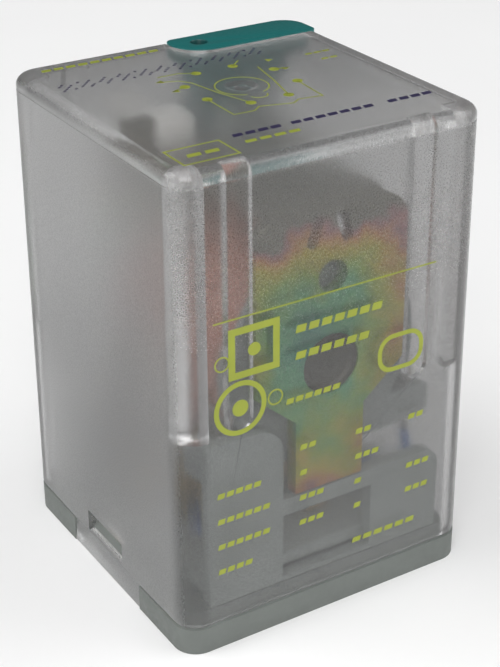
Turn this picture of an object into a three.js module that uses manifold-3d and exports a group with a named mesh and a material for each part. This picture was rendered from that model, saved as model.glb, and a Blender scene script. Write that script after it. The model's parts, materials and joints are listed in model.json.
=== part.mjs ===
// Plug-in control relay with an octal base, a frosted cover and a manual test button.
//
// Millimetres, +Z up. The origin is on the octal axis in the seating plane, the underside of
// the base flange. -Y is the front, where the yoke plate stands behind the cover.
//
// At rest the coil is off: the armature hangs away from the pole face and each moving contact
// touches its normally closed contact. Pressing the test button drives a ramp against the
// armature, whose lower end pulls the pusher card and swings both moving contacts.

import * as THREE from "three";
import { mergeVertices } from "three/addons/utils/BufferGeometryUtils.js";
import Module from "manifold-3d";

const wasm = await Module();
wasm.setup();

// ---------------------------------------------------------------- driving dimensions

const RUN = 0.1; // air gap between pieces that touch or slide in use
const GAP = 0.3; // air gap between pieces that only stand next to each other
const PAST = 20; // how far a cutting tool reaches past the piece it cuts

// Cover
const BODY_SIDE = 35.5; // square cover and flange
const BODY_HALF = BODY_SIDE / 2;
const BODY_HEIGHT = 52.8; // seating plane to cover top
const CORNER_RADIUS = 2.6;
const COVER_DRAFT = 0.2; // how far each side leans in at the top
const COVER_WALL = 1.2;
const COVER_INNER_HALF = BODY_HALF - COVER_WALL;
const TOP_ROUNDING = 1.1;
const INNER_ROUNDING = 0.6;
const COVER_FOOT_Z = 0.2; // lower end of the two tabs
const TAB_WIDTH = 15; // cover tab that reaches down over the flange on the left and right
const COLUMN_SIDE = 2.3; // corner columns inside the cover
const COLUMN_FOOT_Z = 24.4; // lowest point of the columns and guide ribs inside the cover
const RIB_NEAR_X = 9.2; // guide ribs on the front and back walls
const RIB_FAR_X = 11.9;
const RIB_DEPTH = 1.2;
const LATCH_HALF_WIDTH = 3.9; // latch window in each tab
const LATCH_WINDOW_LOW_Z = 3.5;
const LATCH_WINDOW_HIGH_Z = 6.1;

// Base and pins
const FLANGE_HEIGHT = 3;
const BASE_FLOOR_Z = 4.6; // top of the raised floor inside the cover
const LATCH_NUB_Z = 3.9;
const LATCH_NUB_HEIGHT = 1.6;
const LATCH_NUB_REACH = 1;
const PIN_CIRCLE_RADIUS = 17.45 / 2;
const PIN_RADIUS = 2.36 / 2;
const PIN_LENGTH = 11.1;
const PIN_FLARE = 0.35;
const KEY_POST_RADIUS = 3.95;
const KEY_POST_LENGTH = 14.3;
const KEY_HALF_WIDTH = 1.1;
const KEY_HEIGHT = 1.1;

// Contact block and contacts
const STRAP_Z = 5; // terminal straps lie between the base floor and the contact block
const STRAP_THICKNESS = 0.6;
const DECK_Z = 6; // contact block deck
const DECK_TOP_Z = 7.4;
const DECK_HALF_WIDTH = 14.3;
const DECK_BACK_Y = 15.6;
const PANEL_THICKNESS = 1.6; // front panel of the contact block
const PILLAR_TOP_Z = 23.5; // tall left pillar
const BAR_TOP_Z = 14.7; // crossbar and low right block
const BAR_BOTTOM_Z = 12.8;
const WINDOW_HALF_WIDTH = 5.5; // window below the crossbar
const LEAF_X = 9; // both contact sets stand this far from the middle
const LEAF_Y = 2;
const LEAF_ROOT_Z = 8;
const LEAF_HALF_WIDTH = 2.5;
const LEAF_HALF_THICKNESS = 0.15;
const BLADE_HALF_WIDTH = 2;
const CONTACT_Z = 12.8;
const CONTACT_TRAVEL = 1; // gap between an open pair of contacts
const TIP_RADIUS = 1.5;
const TIP_CROWN_RADIUS = 0.9;
const TIP_EDGE_HEIGHT = 0.45;
const TIP_HEIGHT = 0.85;
const TIP_SHANK_RADIUS = 0.7;
const TIP_REACH = TIP_HEIGHT + LEAF_HALF_THICKNESS; // leaf middle to the moving contact's face
const CLOSED_BLADE_Y = LEAF_Y + TIP_REACH + RUN + TIP_HEIGHT;
const CLOSED_FOOT_Y = 5.7;
const OPEN_BLADE_Y = LEAF_Y - TIP_REACH - CONTACT_TRAVEL - RUN - TIP_HEIGHT - STRAP_THICKNESS;

// Yoke
const YOKE_FRONT_Y = -16.3;
const YOKE_THICKNESS = 1.6;
const YOKE_BACK_Y = YOKE_FRONT_Y + YOKE_THICKNESS;
const YOKE_HALF_WIDTH = 8.8;
const YOKE_TOP_Z = 46.3;
const YOKE_BEND_RADIUS = 2.6;
const YOKE_ARM_HALF_WIDTH = 6.5;
const YOKE_ARM_END_Y = 9.2;
const YOKE_ARM_LOW_Z = YOKE_TOP_Z - YOKE_THICKNESS; // the armature turns about this edge
const EAR_LEFT_X = -13.2; // ear bent up at the left of the arm
const EAR_RIGHT_X = -10;
const EAR_FRONT_Y = -0.4;
const EAR_HEIGHT = 4.3;

// Coil
const COIL_AXIS_Z = 29;
const FLANGE_RADIUS = 11.2; // coil former
const FORMER_TUBE_RADIUS = 5.2;
const WINDING_RADIUS = 10.4;
const FORMER_FRONT_Y = -14.2;
const FORMER_BACK_Y = 7.1;
const FORMER_FLANGE = 1.2;
const CORE_RADIUS = 4;
const CORE_NECK_RADIUS = 3.2; // riveted end in the yoke
const CORE_DISH_RADIUS = 2.6;
const POLE_SHOE_RADIUS = 5.5;
const POLE_FACE_Y = 8.3;
const SHADING_GROOVE_INNER = 3.75;
const SHADING_GROOVE_OUTER = 4.75;
const SHADING_GROOVE_DEPTH = 0.7;
const TERMINAL_X = 12.6; // coil terminals
const TERMINAL_Y = -12.2;
const TERMINAL_RADIUS = 0.45;
const TERMINAL_FOOT_Z = 15.4;
const TERMINAL_TOP_Z = 24;
const TERMINAL_BAR_LOW_Z = 18; // bar and ears of the coil former that hold the terminals
const TERMINAL_BAR_HIGH_Z = 22;
const LEAD_RADIUS = 0.55;

// Armature and its spring
const ARMATURE_FRONT_Y = 9.5;
const ARMATURE_THICKNESS = 1.5;
const ARMATURE_BACK_Y = ARMATURE_FRONT_Y + ARMATURE_THICKNESS;
const ARMATURE_HALF_WIDTH = 8;
const ARMATURE_LOW_Z = 17.2;
const ARMATURE_SWING = 0.054; // radians from open to closed
const TONGUE_HALF_WIDTH = 2.5;
const DIMPLE_X = 6.2; // dimple on the armature's back that the button's ramp pushes
const DIMPLE_HEIGHT = 0.8;
const SUSPENSION_X = 1;
const SUSPENSION_HALF_WIDTH = 2.5;
const SUSPENSION_THICKNESS = 0.3;
const SUSPENSION_FRONT_Y = 1.5;
const SUSPENSION_LOW_Z = 38;
const SUSPENSION_RIVET_Y = 4.5;
const ARMATURE_RIVET_Z = 40.5;
const RIVET_HOLE_RADIUS = 1.1;
const FLAG_LEFT_X = -9.7; // position flag
const FLAG_RIGHT_X = -5.6;
const FLAG_FRONT_Y = -0.4;
const FLAG_HEAD_BACK_Y = 3;
const FLAG_LOW_Z = 47.7;
const FLAG_TOP_Z = 50.6;

// Card
const CARD_Z = 14.9;
const CARD_THICKNESS = 1.4;
const CARD_HALF_WIDTH = 12.2;
const CARD_FRONT_Y = -0.4;
const CARD_BACK_Y = 12.3;

// Test button
const BUTTON_STROKE = 1.5;
const BUTTON_HEAD_Z = 49.6;
const BUTTON_NOTCH_Z = 47.8;
const BUTTON_BODY_Z = 46.5;
const BUTTON_LEFT_X = 1;
const BUTTON_FRONT_Y = 12.3;
const BUTTON_ROUNDING = 3.6;
const RAMP_Z = 36; // height at which the button's ramp meets the armature's dimple
const SHELF_TOP_Z = 40.2; // shelf under the button's spring
const SHELF_THICKNESS = 1.2;
const PEG_RADIUS = 0.9; // pegs that centre the spring
const PEG_HEIGHT = 1.4;
const BUTTON_SPRING_X = 11.6;
const BUTTON_SPRING_Y = 14.1;
const BUTTON_SPRING_RADIUS = 1.45;
const BUTTON_SPRING_WIRE = 0.2;
const BUTTON_SPRING_TURNS = 4.5;

// ---------------------------------------------------------------- helpers

const material = (color, roughness, metalness, opacity = 1) =>
  new THREE.MeshStandardMaterial({ color, roughness, metalness, opacity, transparent: opacity < 1 });

const FROSTED = material(0xb4b8b6, 0.55, 0, 0.4);
const BASE_GREY = material(0x747d78, 0.6, 0);
const BLOCK_GREY = material(0x8d9591, 0.6, 0);
const TEAL = material(0x0c8478, 0.45, 0);
const CHROMATE = material(0x8c9a62, 0.35, 0.9);
const IRON = material(0x9a9a96, 0.4, 0.9);
const BRASS = material(0xc8a860, 0.35, 0.9);
const TINNED = material(0xc4c4be, 0.3, 0.9);
const SILVER = material(0xd8d6d0, 0.3, 0.9);
const COPPER = material(0xa85a3c, 0.4, 0.8);
const TAPE = material(0x9c6450, 0.5, 0);
const NYLON = material(0x949994, 0.55, 0);
const CARD_WHITE = material(0xe4e2da, 0.6, 0);
const SPRING_STEEL = material(0xb0b2b4, 0.3, 0.9);
const LEAD_SLEEVE = material(0x2f5fa0, 0.5, 0);

// A closed geometry as a manifold-3d solid.
function solid(geometry) {
  const bare = geometry.clone();
  bare.deleteAttribute("normal");
  bare.deleteAttribute("uv");
  const merged = mergeVertices(bare, 1e-4);
  return new wasm.Manifold(
    new wasm.Mesh({
      numProp: 3,
      vertProperties: merged.attributes.position.array,
      triVerts: new Uint32Array(merged.index.array),
    }),
  );
}

// The solid's surface as a three.js geometry.
function surface(made) {
  const mesh = made.getMesh();
  return new THREE.BufferGeometry()
    .setAttribute("position", new THREE.BufferAttribute(mesh.vertProperties, 3))
    .setIndex(new THREE.BufferAttribute(mesh.triVerts, 1));
}

const join = (pieces) => pieces.map(solid).reduce((sum, piece) => sum.add(piece));
const cut = (body, pieces) => pieces.map(solid).reduce((rest, piece) => rest.subtract(piece), body);

// A box between two opposite corners.
function box([x0, y0, z0], [x1, y1, z1]) {
  return new THREE.BoxGeometry(x1 - x0, y1 - y0, z1 - z0).translate(
    (x0 + x1) / 2,
    (y0 + y1) / 2,
    (z0 + z1) / 2,
  );
}

// A closed solid of revolution about Z from [radius, z] points, listed from bottom to top outside.
function turned(points, segments = 24) {
  return new THREE.LatheGeometry(
    points.map(([radius, z]) => new THREE.Vector2(radius, z)),
    segments,
  ).rotateX(Math.PI / 2);
}

// A solid of revolution turned so that its own Z runs along +Y.
const turnedAlongY = (points, segments) => turned(points, segments).rotateX(-Math.PI / 2);

const rodZ = (radius, z0, z1, x, y, segments = 20) =>
  new THREE.CylinderGeometry(radius, radius, z1 - z0, segments)
    .rotateX(Math.PI / 2)
    .translate(x, y, (z0 + z1) / 2);

const rodY = (radius, y0, y1, x, z, segments = 20) =>
  new THREE.CylinderGeometry(radius, radius, y1 - y0, segments).translate(x, (y0 + y1) / 2, z);

// A rectangle with its own radius at each corner, from the lower left corner anticlockwise.
function roundedOutline(x0, y0, x1, y1, radii) {
  const [a, b, c, d] = radii;
  const outline = new THREE.Shape();
  outline.moveTo(x0 + a, y0);
  outline.lineTo(x1 - b, y0);
  if (b) outline.absarc(x1 - b, y0 + b, b, -Math.PI / 2, 0);
  outline.lineTo(x1, y1 - c);
  if (c) outline.absarc(x1 - c, y1 - c, c, 0, Math.PI / 2);
  outline.lineTo(x0 + d, y1);
  if (d) outline.absarc(x0 + d, y1 - d, d, Math.PI / 2, Math.PI);
  outline.lineTo(x0, y0 + a);
  if (a) outline.absarc(x0 + a, y0 + a, a, Math.PI, 1.5 * Math.PI);
  return outline;
}

function roundedSquare(side, radius) {
  const half = side / 2;
  return roundedOutline(-half, -half, half, half, [radius, radius, radius, radius]);
}

const extruded = (outline, depth, options = {}) =>
  new THREE.ExtrudeGeometry(outline, { depth, bevelEnabled: false, curveSegments: 6, ...options });

// An outline drawn in X and Y, raised from z0 to z1.
const raised = (outline, z0, z1) => extruded(outline, z1 - z0).translate(0, 0, z0);

// An outline drawn in X and Z, as a slab from y0 to y1.
const slabY = (outline, y0, y1) =>
  extruded(outline, y1 - y0)
    .rotateX(Math.PI / 2)
    .translate(0, y1, 0);

// An outline drawn in Y and Z, as a slab from x0 to x1.
function slabX(outline, x0, x1) {
  const turn = new THREE.Matrix4().set(0, 0, 1, x0, 1, 0, 0, 0, 0, 1, 0, 0, 0, 0, 0, 1);
  return extruded(outline, x1 - x0).applyMatrix4(turn);
}

// A flat strap of the given width between two points seen from above.
function strap([ax, ay], [bx, by], width, z0, z1) {
  const length = Math.hypot(bx - ax, by - ay);
  return new THREE.BoxGeometry(length + width, width, z1 - z0)
    .rotateZ(Math.atan2(by - ay, bx - ax))
    .translate((ax + bx) / 2, (ay + by) / 2, (z0 + z1) / 2);
}

// A round wire along a curve.
function wire(curve, radius, steps, sides) {
  const corner = (k) => {
    const angle = (2 * Math.PI * k) / sides;
    return new THREE.Vector2(radius * Math.cos(angle), radius * Math.sin(angle));
  };
  const section = new THREE.Shape(Array.from({ length: sides }, (_, k) => corner(k)));
  return new THREE.ExtrudeGeometry(section, { steps, extrudePath: curve, bevelEnabled: false });
}

const group = new THREE.Group();

// Adds a named piece, from a three.js geometry or a manifold-3d solid.
function add(name, shape, look) {
  const geometry = shape.isBufferGeometry ? shape : surface(shape);
  const mesh = new THREE.Mesh(geometry, look);
  mesh.name = name;
  group.add(mesh);
}

// A box that spans the same range on either side of the middle plane.
function sideBox(side, [x0, y0, z0], [x1, y1, z1]) {
  const left = Math.min(side * x0, side * x1);
  const right = Math.max(side * x0, side * x1);
  return box([left, y0, z0], [right, y1, z1]);
}

// The left (-1) and right (+1) copy of a mirrored pair.
const SIDES = [
  ["left", -1],
  ["right", 1],
];

// The octal pins that each side's pieces end on.
const PINS = {
  left: { common: 8, coil: 7, open: 6, closed: 5 },
  right: { common: 1, coil: 2, open: 3, closed: 4 },
};
const PIN_NUMBERS = [1, 2, 3, 4, 5, 6, 7, 8];

// Octal pin positions: the key is at -Y, and pin 1 comes first anticlockwise from above.
function pinPlace(number) {
  const pitch = (2 * Math.PI) / PIN_NUMBERS.length;
  const angle = -Math.PI / 2 + pitch * (number - 0.5);
  return [PIN_CIRCLE_RADIUS * Math.cos(angle), PIN_CIRCLE_RADIUS * Math.sin(angle)];
}

// ---------------------------------------------------------------- cover

// The square block of the cover, drafted towards the top and rounded along its top edge. It
// starts below the seating plane, where the cover is cut off.
function coverBlock(side, radius, topZ, rounding) {
  const foot = -5;
  const outline = roundedSquare(side - 2 * rounding, radius - rounding * 0.6);
  const geometry = new THREE.ExtrudeGeometry(outline, {
    depth: topZ - foot - 2 * rounding,
    bevelSize: rounding,
    bevelThickness: rounding,
    bevelSegments: 4,
    curveSegments: 6,
  }).translate(0, 0, foot + rounding);
  const position = geometry.attributes.position;
  for (let i = 0; i < position.count; i++) {
    const lean = 1 - (COVER_DRAFT * position.getZ(i)) / (BODY_HEIGHT * BODY_HALF);
    position.setXY(i, position.getX(i) * lean, position.getY(i) * lean);
  }
  return geometry;
}

// Guide rib on the front or back wall, square at the top and round at the foot.
function guideRib(side, y0, y1) {
  const radius = (RIB_FAR_X - RIB_NEAR_X) / 2.01;
  const corners = [radius, radius, 0, 0];
  const outline = roundedOutline(RIB_NEAR_X, COLUMN_FOOT_Z, RIB_FAR_X, BODY_HEIGHT, corners);
  return slabY(outline, y0, y1).translate(side < 0 ? -(RIB_NEAR_X + RIB_FAR_X) : 0, 0, 0);
}

// Shelf on the cover's back wall with the peg that centres the button spring.
function springShelf() {
  const shelfLeftX = 9.6;
  const shelfFrontY = 12.5;
  const rodTop = SHELF_TOP_Z + PEG_HEIGHT;
  return [
    box([shelfLeftX, shelfFrontY, SHELF_TOP_Z - SHELF_THICKNESS], [BODY_SIDE, BODY_SIDE, SHELF_TOP_Z]),
    rodZ(PEG_RADIUS, SHELF_TOP_Z - 0.5, rodTop, BUTTON_SPRING_X, BUTTON_SPRING_Y, 12),
  ];
}

// The space inside the cover, less the columns, ribs and shelf that stand in it.
function coverHollow() {
  const radius = CORNER_RADIUS - COVER_WALL / 2;
  const top = BODY_HEIGHT - COVER_WALL;
  const column = COVER_INNER_HALF - COLUMN_SIDE;
  const columns = SIDES.flatMap(([, side]) => [
    sideBox(side, [column, column, COLUMN_FOOT_Z], [BODY_SIDE, BODY_SIDE, BODY_HEIGHT]),
    sideBox(side, [column, -BODY_SIDE, COLUMN_FOOT_Z], [BODY_SIDE, -column, BODY_HEIGHT]),
  ]);
  const ribFaceY = COVER_INNER_HALF - RIB_DEPTH;
  return cut(solid(coverBlock(2 * COVER_INNER_HALF, radius, top, INNER_ROUNDING)), [
    ...columns,
    guideRib(-1, -BODY_SIDE, -ribFaceY),
    guideRib(1, -BODY_SIDE, -ribFaceY),
    guideRib(-1, ribFaceY, BODY_SIDE),
    ...springShelf(),
  ]);
}

function cover() {
  const block = solid(coverBlock(BODY_SIDE, CORNER_RADIUS, BODY_HEIGHT, TOP_ROUNDING));
  const aboveFlange = FLANGE_HEIGHT + RUN;
  const notch = roundedOutline(BUTTON_LEFT_X - GAP, BUTTON_FRONT_Y - GAP, BODY_SIDE, BODY_SIDE, [
    BUTTON_ROUNDING + GAP,
    0,
    0,
    0,
  ]);
  return cut(block.subtract(coverHollow()), [
    box([-BODY_SIDE, -BODY_SIDE, -PAST], [BODY_SIDE, BODY_SIDE, COVER_FOOT_Z]),
    box([-BODY_SIDE, -BODY_SIDE, -PAST], [BODY_SIDE, -TAB_WIDTH / 2, aboveFlange]),
    box([-BODY_SIDE, TAB_WIDTH / 2, -PAST], [BODY_SIDE, BODY_SIDE, aboveFlange]),
    box(
      [-BODY_SIDE, -LATCH_HALF_WIDTH, LATCH_WINDOW_LOW_Z],
      [BODY_SIDE, LATCH_HALF_WIDTH, LATCH_WINDOW_HIGH_Z],
    ),
    raised(notch, BUTTON_NOTCH_Z, BODY_HEIGHT + PAST),
  ]);
}

// ---------------------------------------------------------------- base

// Hollow post below the base with the key rib that sets which way the relay plugs in.
function keyPost() {
  const chamfer = 1;
  const chamferHeight = 1.5;
  const root = FLANGE_HEIGHT / 3;
  const keyFoot = -KEY_POST_LENGTH + chamferHeight;
  return [
    turned([
      [0, -KEY_POST_LENGTH],
      [KEY_POST_RADIUS - chamfer, -KEY_POST_LENGTH],
      [KEY_POST_RADIUS, keyFoot],
      [KEY_POST_RADIUS, root],
      [0, root],
    ]),
    box(
      [-KEY_HALF_WIDTH, -KEY_POST_RADIUS - KEY_HEIGHT, keyFoot],
      [KEY_HALF_WIDTH, -KEY_POST_RADIUS + KEY_HEIGHT, root],
    ),
  ];
}

// Upright wall on the base floor with the nub that snaps into the cover's latch window.
function latch(side, faceX) {
  const wallThickness = 1.4;
  const nubDepth = 2;
  const wallTop = LATCH_WINDOW_HIGH_Z + 0.2;
  const halfWidth = LATCH_HALF_WIDTH - GAP;
  const outline = new THREE.Shape();
  outline.moveTo(faceX - nubDepth, LATCH_NUB_Z + LATCH_NUB_HEIGHT);
  outline.lineTo(faceX - nubDepth, LATCH_NUB_Z);
  outline.lineTo(faceX + LATCH_NUB_REACH, LATCH_NUB_Z);
  outline.lineTo(faceX, LATCH_NUB_Z + LATCH_NUB_HEIGHT);
  const nub = slabY(outline, -halfWidth, halfWidth);
  return [
    sideBox(
      side,
      [faceX - wallThickness, -LATCH_HALF_WIDTH - 1, FLANGE_HEIGHT],
      [faceX, LATCH_HALF_WIDTH + 1, wallTop],
    ),
    side > 0 ? nub : nub.rotateZ(Math.PI),
  ];
}

function basePlate() {
  const floorHalf = COVER_INNER_HALF - GAP;
  const tabRecess = BODY_HALF - COVER_WALL - RUN;
  const body = join([
    raised(roundedSquare(BODY_SIDE, CORNER_RADIUS), 0, FLANGE_HEIGHT),
    raised(roundedSquare(2 * floorHalf, CORNER_RADIUS - COVER_WALL), FLANGE_HEIGHT - 1, BASE_FLOOR_Z),
    ...keyPost(),
    ...SIDES.flatMap(([, side]) => latch(side, floorHalf)),
  ]);
  return cut(body, [
    ...SIDES.map(([, side]) =>
      sideBox(
        side,
        [tabRecess, -TAB_WIDTH / 2 - RUN, -PAST],
        [BODY_SIDE, TAB_WIDTH / 2 + RUN, FLANGE_HEIGHT + GAP],
      ),
    ),
    ...PIN_NUMBERS.map((number) =>
      rodZ(PIN_RADIUS + RUN, -PAST, BASE_FLOOR_Z + 1, ...pinPlace(number)),
    ),
  ]);
}

// Hollow pin with a round nose, a solder dimple in its tip and a flared head on the base floor.
function octalPin(number) {
  const [x, y] = pinPlace(number);
  const tip = -PIN_LENGTH;
  const dimpleDepth = 1.6;
  const dimpleRadius = 0.7;
  const noseHeight = 0.6;
  const headTop = STRAP_Z - RUN;
  return turned(
    [
      [0, tip + dimpleDepth],
      [dimpleRadius - 0.1, tip + dimpleDepth - 0.4],
      [dimpleRadius, tip],
      [dimpleRadius + 0.25, tip + 0.12],
      [PIN_RADIUS, tip + noseHeight],
      [PIN_RADIUS, BASE_FLOOR_Z + 0.05],
      [PIN_RADIUS + PIN_FLARE, BASE_FLOOR_Z + RUN],
      [PIN_RADIUS + PIN_FLARE, headTop],
      [0, headTop],
    ],
    16,
  ).translate(x, y, 0);
}

// ---------------------------------------------------------------- contact block

// Front panel: a tall left pillar, a low right block and a crossbar over a window.
function blockPanel() {
  const front = YOKE_FRONT_Y + RUN;
  const back = front + PANEL_THICKNESS;
  const foot = BASE_FLOOR_Z + RUN;
  const sillHeight = 0.6;
  const overlap = 1;
  const pillar = roundedOutline(-DECK_HALF_WIDTH, foot, -WINDOW_HALF_WIDTH, PILLAR_TOP_Z, [0, 0, 3, 0.6]);
  const low = roundedOutline(WINDOW_HALF_WIDTH, foot, DECK_HALF_WIDTH, BAR_TOP_Z, [0, 0, 2, 0.6]);
  const reach = WINDOW_HALF_WIDTH + overlap;
  return [
    slabY(pillar, front, back),
    slabY(low, front, back),
    box([-reach, front, BAR_BOTTOM_Z], [reach, back, BAR_TOP_Z]),
    box([-reach, front, foot], [reach, back, foot + sillHeight]),
  ];
}

// Posts that carry the sliding card, two beside its window and two at the back.
function cardRests(side) {
  const innerX = 4.8;
  const innerY = [5.4, 7.4];
  const innerHalf = 0.5;
  const outerX = 11.6;
  const outerHalf = 2.6;
  const outerFrontY = 12.6;
  const outerTop = 13.5;
  return [
    sideBox(
      side,
      [innerX - innerHalf, innerY[0], DECK_Z + 0.5],
      [innerX + innerHalf, innerY[1], CARD_Z - GAP],
    ),
    sideBox(
      side,
      [outerX - outerHalf, outerFrontY, BASE_FLOOR_Z + RUN],
      [outerX + outerHalf, DECK_BACK_Y, outerTop],
    ),
  ];
}

// The moulding that stands on the base: front panel, deck, card rests and a barrier between
// the two contact sets.
function contactBlock() {
  const deckFrontY = YOKE_FRONT_Y + RUN + PANEL_THICKNESS - 0.5;
  const barrierHalf = 0.75;
  const barrierFrontY = -5;
  const barrierBackY = 5;
  const barrierTop = 13.4;
  const postHole = 1.5;
  const body = join([
    box([-DECK_HALF_WIDTH, deckFrontY, DECK_Z], [DECK_HALF_WIDTH, DECK_BACK_Y, DECK_TOP_Z]),
    box([-barrierHalf, barrierFrontY, DECK_Z + 0.5], [barrierHalf, barrierBackY, barrierTop]),
    ...blockPanel(),
    ...SIDES.flatMap(([, side]) => cardRests(side)),
  ]);
  const holes = SIDES.flatMap(([name, side]) => [
    fixedBlade(side, OPEN_BLADE_Y, STRAP_Z, DECK_TOP_Z, GAP),
    fixedBlade(side, CLOSED_FOOT_Y, STRAP_Z, DECK_TOP_Z, GAP),
    rodZ(postHole, DECK_Z - 1, DECK_TOP_Z + 1, ...pinPlace(PINS[name].common), 16),
    rodZ(postHole, DECK_Z - 1, DECK_TOP_Z + 1, ...pinPlace(PINS[name].coil), 16),
  ]);
  return cut(body, holes);
}

// Upright strip of a fixed contact, or the slot it stands in when grown by a margin.
function fixedBlade(side, y0, z0, z1, margin = 0) {
  return box(
    [side * LEAF_X - BLADE_HALF_WIDTH - margin, y0 - margin, z0 - margin],
    [side * LEAF_X + BLADE_HALF_WIDTH + margin, y0 + STRAP_THICKNESS + margin, z1 + margin],
  );
}

// Fixed contact terminal: the pad above its pin, a strap, a foot through the deck and a blade.
// The closed contact's foot stands behind its blade, clear of the open contact's pin.
function fixedTerminal(side, bladeY, footY, pin) {
  const [x, y] = pinPlace(pin);
  const padRadius = 1.3;
  const strapWidth = 1.6;
  const strapTop = STRAP_Z + STRAP_THICKNESS;
  const stepTop = 9.6;
  const stepLow = stepTop - STRAP_THICKNESS;
  const body = join([
    rodZ(padRadius, STRAP_Z, strapTop, x, y, 16),
    strap([x, y], [side * LEAF_X, footY + STRAP_THICKNESS / 2], strapWidth, STRAP_Z, strapTop),
    fixedBlade(side, footY, STRAP_Z, stepTop),
    box(
      [side * LEAF_X - BLADE_HALF_WIDTH, Math.min(bladeY, footY), stepLow],
      [side * LEAF_X + BLADE_HALF_WIDTH, Math.max(bladeY, footY) + STRAP_THICKNESS, stepTop],
    ),
    fixedBlade(side, bladeY, stepLow, CARD_Z - 2 * GAP),
  ]);
  const hole = rodY(TIP_SHANK_RADIUS + RUN, bladeY - 1, bladeY + 1.5, side * LEAF_X, CONTACT_Z, 12);
  return cut(body, [hole]);
}

// Common terminal: a post through the deck, a strap over it and the plate that holds the leaf.
function commonTerminal(side, pin) {
  const [x, y] = pinPlace(pin);
  const postRadius = 1.2;
  const strapWidth = 1.3;
  const strapX = 5.6;
  const strapEndY = 0.8;
  const plateHeight = 2.2;
  const neckHeight = 1.6;
  const low = DECK_TOP_Z + RUN;
  const high = low + STRAP_THICKNESS;
  const plateY = LEAF_Y + LEAF_HALF_THICKNESS + RUN;
  const plateBackY = plateY + STRAP_THICKNESS;
  const near = strapX - strapWidth / 2;
  const far = strapX + strapWidth / 2;
  return join([
    rodZ(postRadius, STRAP_Z, high, x, y, 16),
    strap([x, y], [side * strapX, strapEndY], strapWidth, low, high),
    sideBox(side, [near, 0, low], [far, plateBackY, high]),
    sideBox(side, [near, plateY, low], [strapX + 2, plateBackY, low + neckHeight]),
    sideBox(
      side,
      [LEAF_X - LEAF_HALF_WIDTH, plateY, low],
      [LEAF_X + LEAF_HALF_WIDTH, plateBackY, low + plateHeight],
    ),
  ]);
}

// Leaf spring that carries a moving contact.
function movingLeaf(side) {
  const aboveCard = 2;
  const leaf = solid(
    box(
      [side * LEAF_X - LEAF_HALF_WIDTH, LEAF_Y - LEAF_HALF_THICKNESS, LEAF_ROOT_Z],
      [side * LEAF_X + LEAF_HALF_WIDTH, LEAF_Y + LEAF_HALF_THICKNESS, CARD_Z + aboveCard],
    ),
  );
  const hole = rodY(TIP_SHANK_RADIUS + RUN, LEAF_Y - 1, LEAF_Y + 1, side * LEAF_X, CONTACT_Z, 12);
  return cut(leaf, [hole]);
}

// Double-headed contact rivet through a moving leaf.
function movingTip(side) {
  const skin = LEAF_HALF_THICKNESS + 0.02;
  return turnedAlongY(
    [
      [0, -skin - TIP_HEIGHT],
      [TIP_CROWN_RADIUS, -skin - TIP_HEIGHT + 0.1],
      [TIP_RADIUS, -skin - TIP_EDGE_HEIGHT],
      [TIP_RADIUS, -skin],
      [TIP_SHANK_RADIUS, -skin],
      [TIP_SHANK_RADIUS, skin],
      [TIP_RADIUS, skin],
      [TIP_RADIUS, skin + TIP_EDGE_HEIGHT],
      [TIP_CROWN_RADIUS, skin + TIP_HEIGHT - 0.1],
      [0, skin + TIP_HEIGHT],
    ],
    16,
  ).translate(side * LEAF_X, LEAF_Y, CONTACT_Z);
}

// Contact rivet on a fixed blade, with its dome towards the leaf (+1 faces +Y).
function fixedTip(side, bladeFaceY, facing) {
  const seat = 0.02;
  const tip = turnedAlongY(
    [
      [0, -STRAP_THICKNESS],
      [TIP_SHANK_RADIUS, -STRAP_THICKNESS],
      [TIP_SHANK_RADIUS, seat],
      [TIP_RADIUS, seat],
      [TIP_RADIUS, TIP_EDGE_HEIGHT],
      [TIP_CROWN_RADIUS, TIP_HEIGHT - 0.1],
      [0, TIP_HEIGHT],
    ],
    16,
  );
  if (facing < 0) tip.rotateX(Math.PI);
  return tip.translate(side * LEAF_X, bladeFaceY, CONTACT_Z);
}

// ---------------------------------------------------------------- magnet

// Front plate of the yoke: wide above, tapering to a narrow neck that stands on the block.
function yokePlateOutline() {
  const shoulder = 42.8;
  const shoulderRadius = 3;
  const taperTop = 27.4;
  const taperFoot = 23.4;
  const neckHalf = 4.1;
  const neckFoot = 15;
  const arcX = YOKE_HALF_WIDTH - shoulderRadius;
  const outline = new THREE.Shape();
  outline.moveTo(-neckHalf, neckFoot);
  outline.lineTo(neckHalf, neckFoot);
  outline.lineTo(neckHalf, taperFoot);
  outline.lineTo(YOKE_HALF_WIDTH, taperTop);
  outline.lineTo(YOKE_HALF_WIDTH, shoulder);
  outline.absarc(arcX, shoulder, shoulderRadius, 0, Math.PI / 2);
  outline.lineTo(-arcX, shoulder + shoulderRadius);
  outline.absarc(-arcX, shoulder, shoulderRadius, Math.PI / 2, Math.PI);
  outline.lineTo(-YOKE_HALF_WIDTH, taperTop);
  outline.lineTo(-neckHalf, taperFoot);
  return outline;
}

// Bent strip of the yoke: from the front plate over a bend to the arm above the coil.
function yokeBendOutline() {
  const foot = YOKE_TOP_Z - 5;
  const inner = YOKE_BEND_RADIUS - YOKE_THICKNESS;
  const middleY = YOKE_FRONT_Y + YOKE_BEND_RADIUS;
  const middleZ = YOKE_TOP_Z - YOKE_BEND_RADIUS;
  const outline = new THREE.Shape();
  outline.moveTo(YOKE_FRONT_Y, foot);
  outline.lineTo(YOKE_BACK_Y, foot);
  outline.lineTo(YOKE_BACK_Y, middleZ);
  outline.absarc(middleY, middleZ, inner, Math.PI, Math.PI / 2, true);
  outline.lineTo(YOKE_ARM_END_Y, YOKE_ARM_LOW_Z);
  outline.lineTo(YOKE_ARM_END_Y, YOKE_TOP_Z);
  outline.lineTo(middleY, YOKE_TOP_Z);
  outline.absarc(middleY, middleZ, YOKE_BEND_RADIUS, Math.PI / 2, Math.PI);
  return outline;
}

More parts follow.
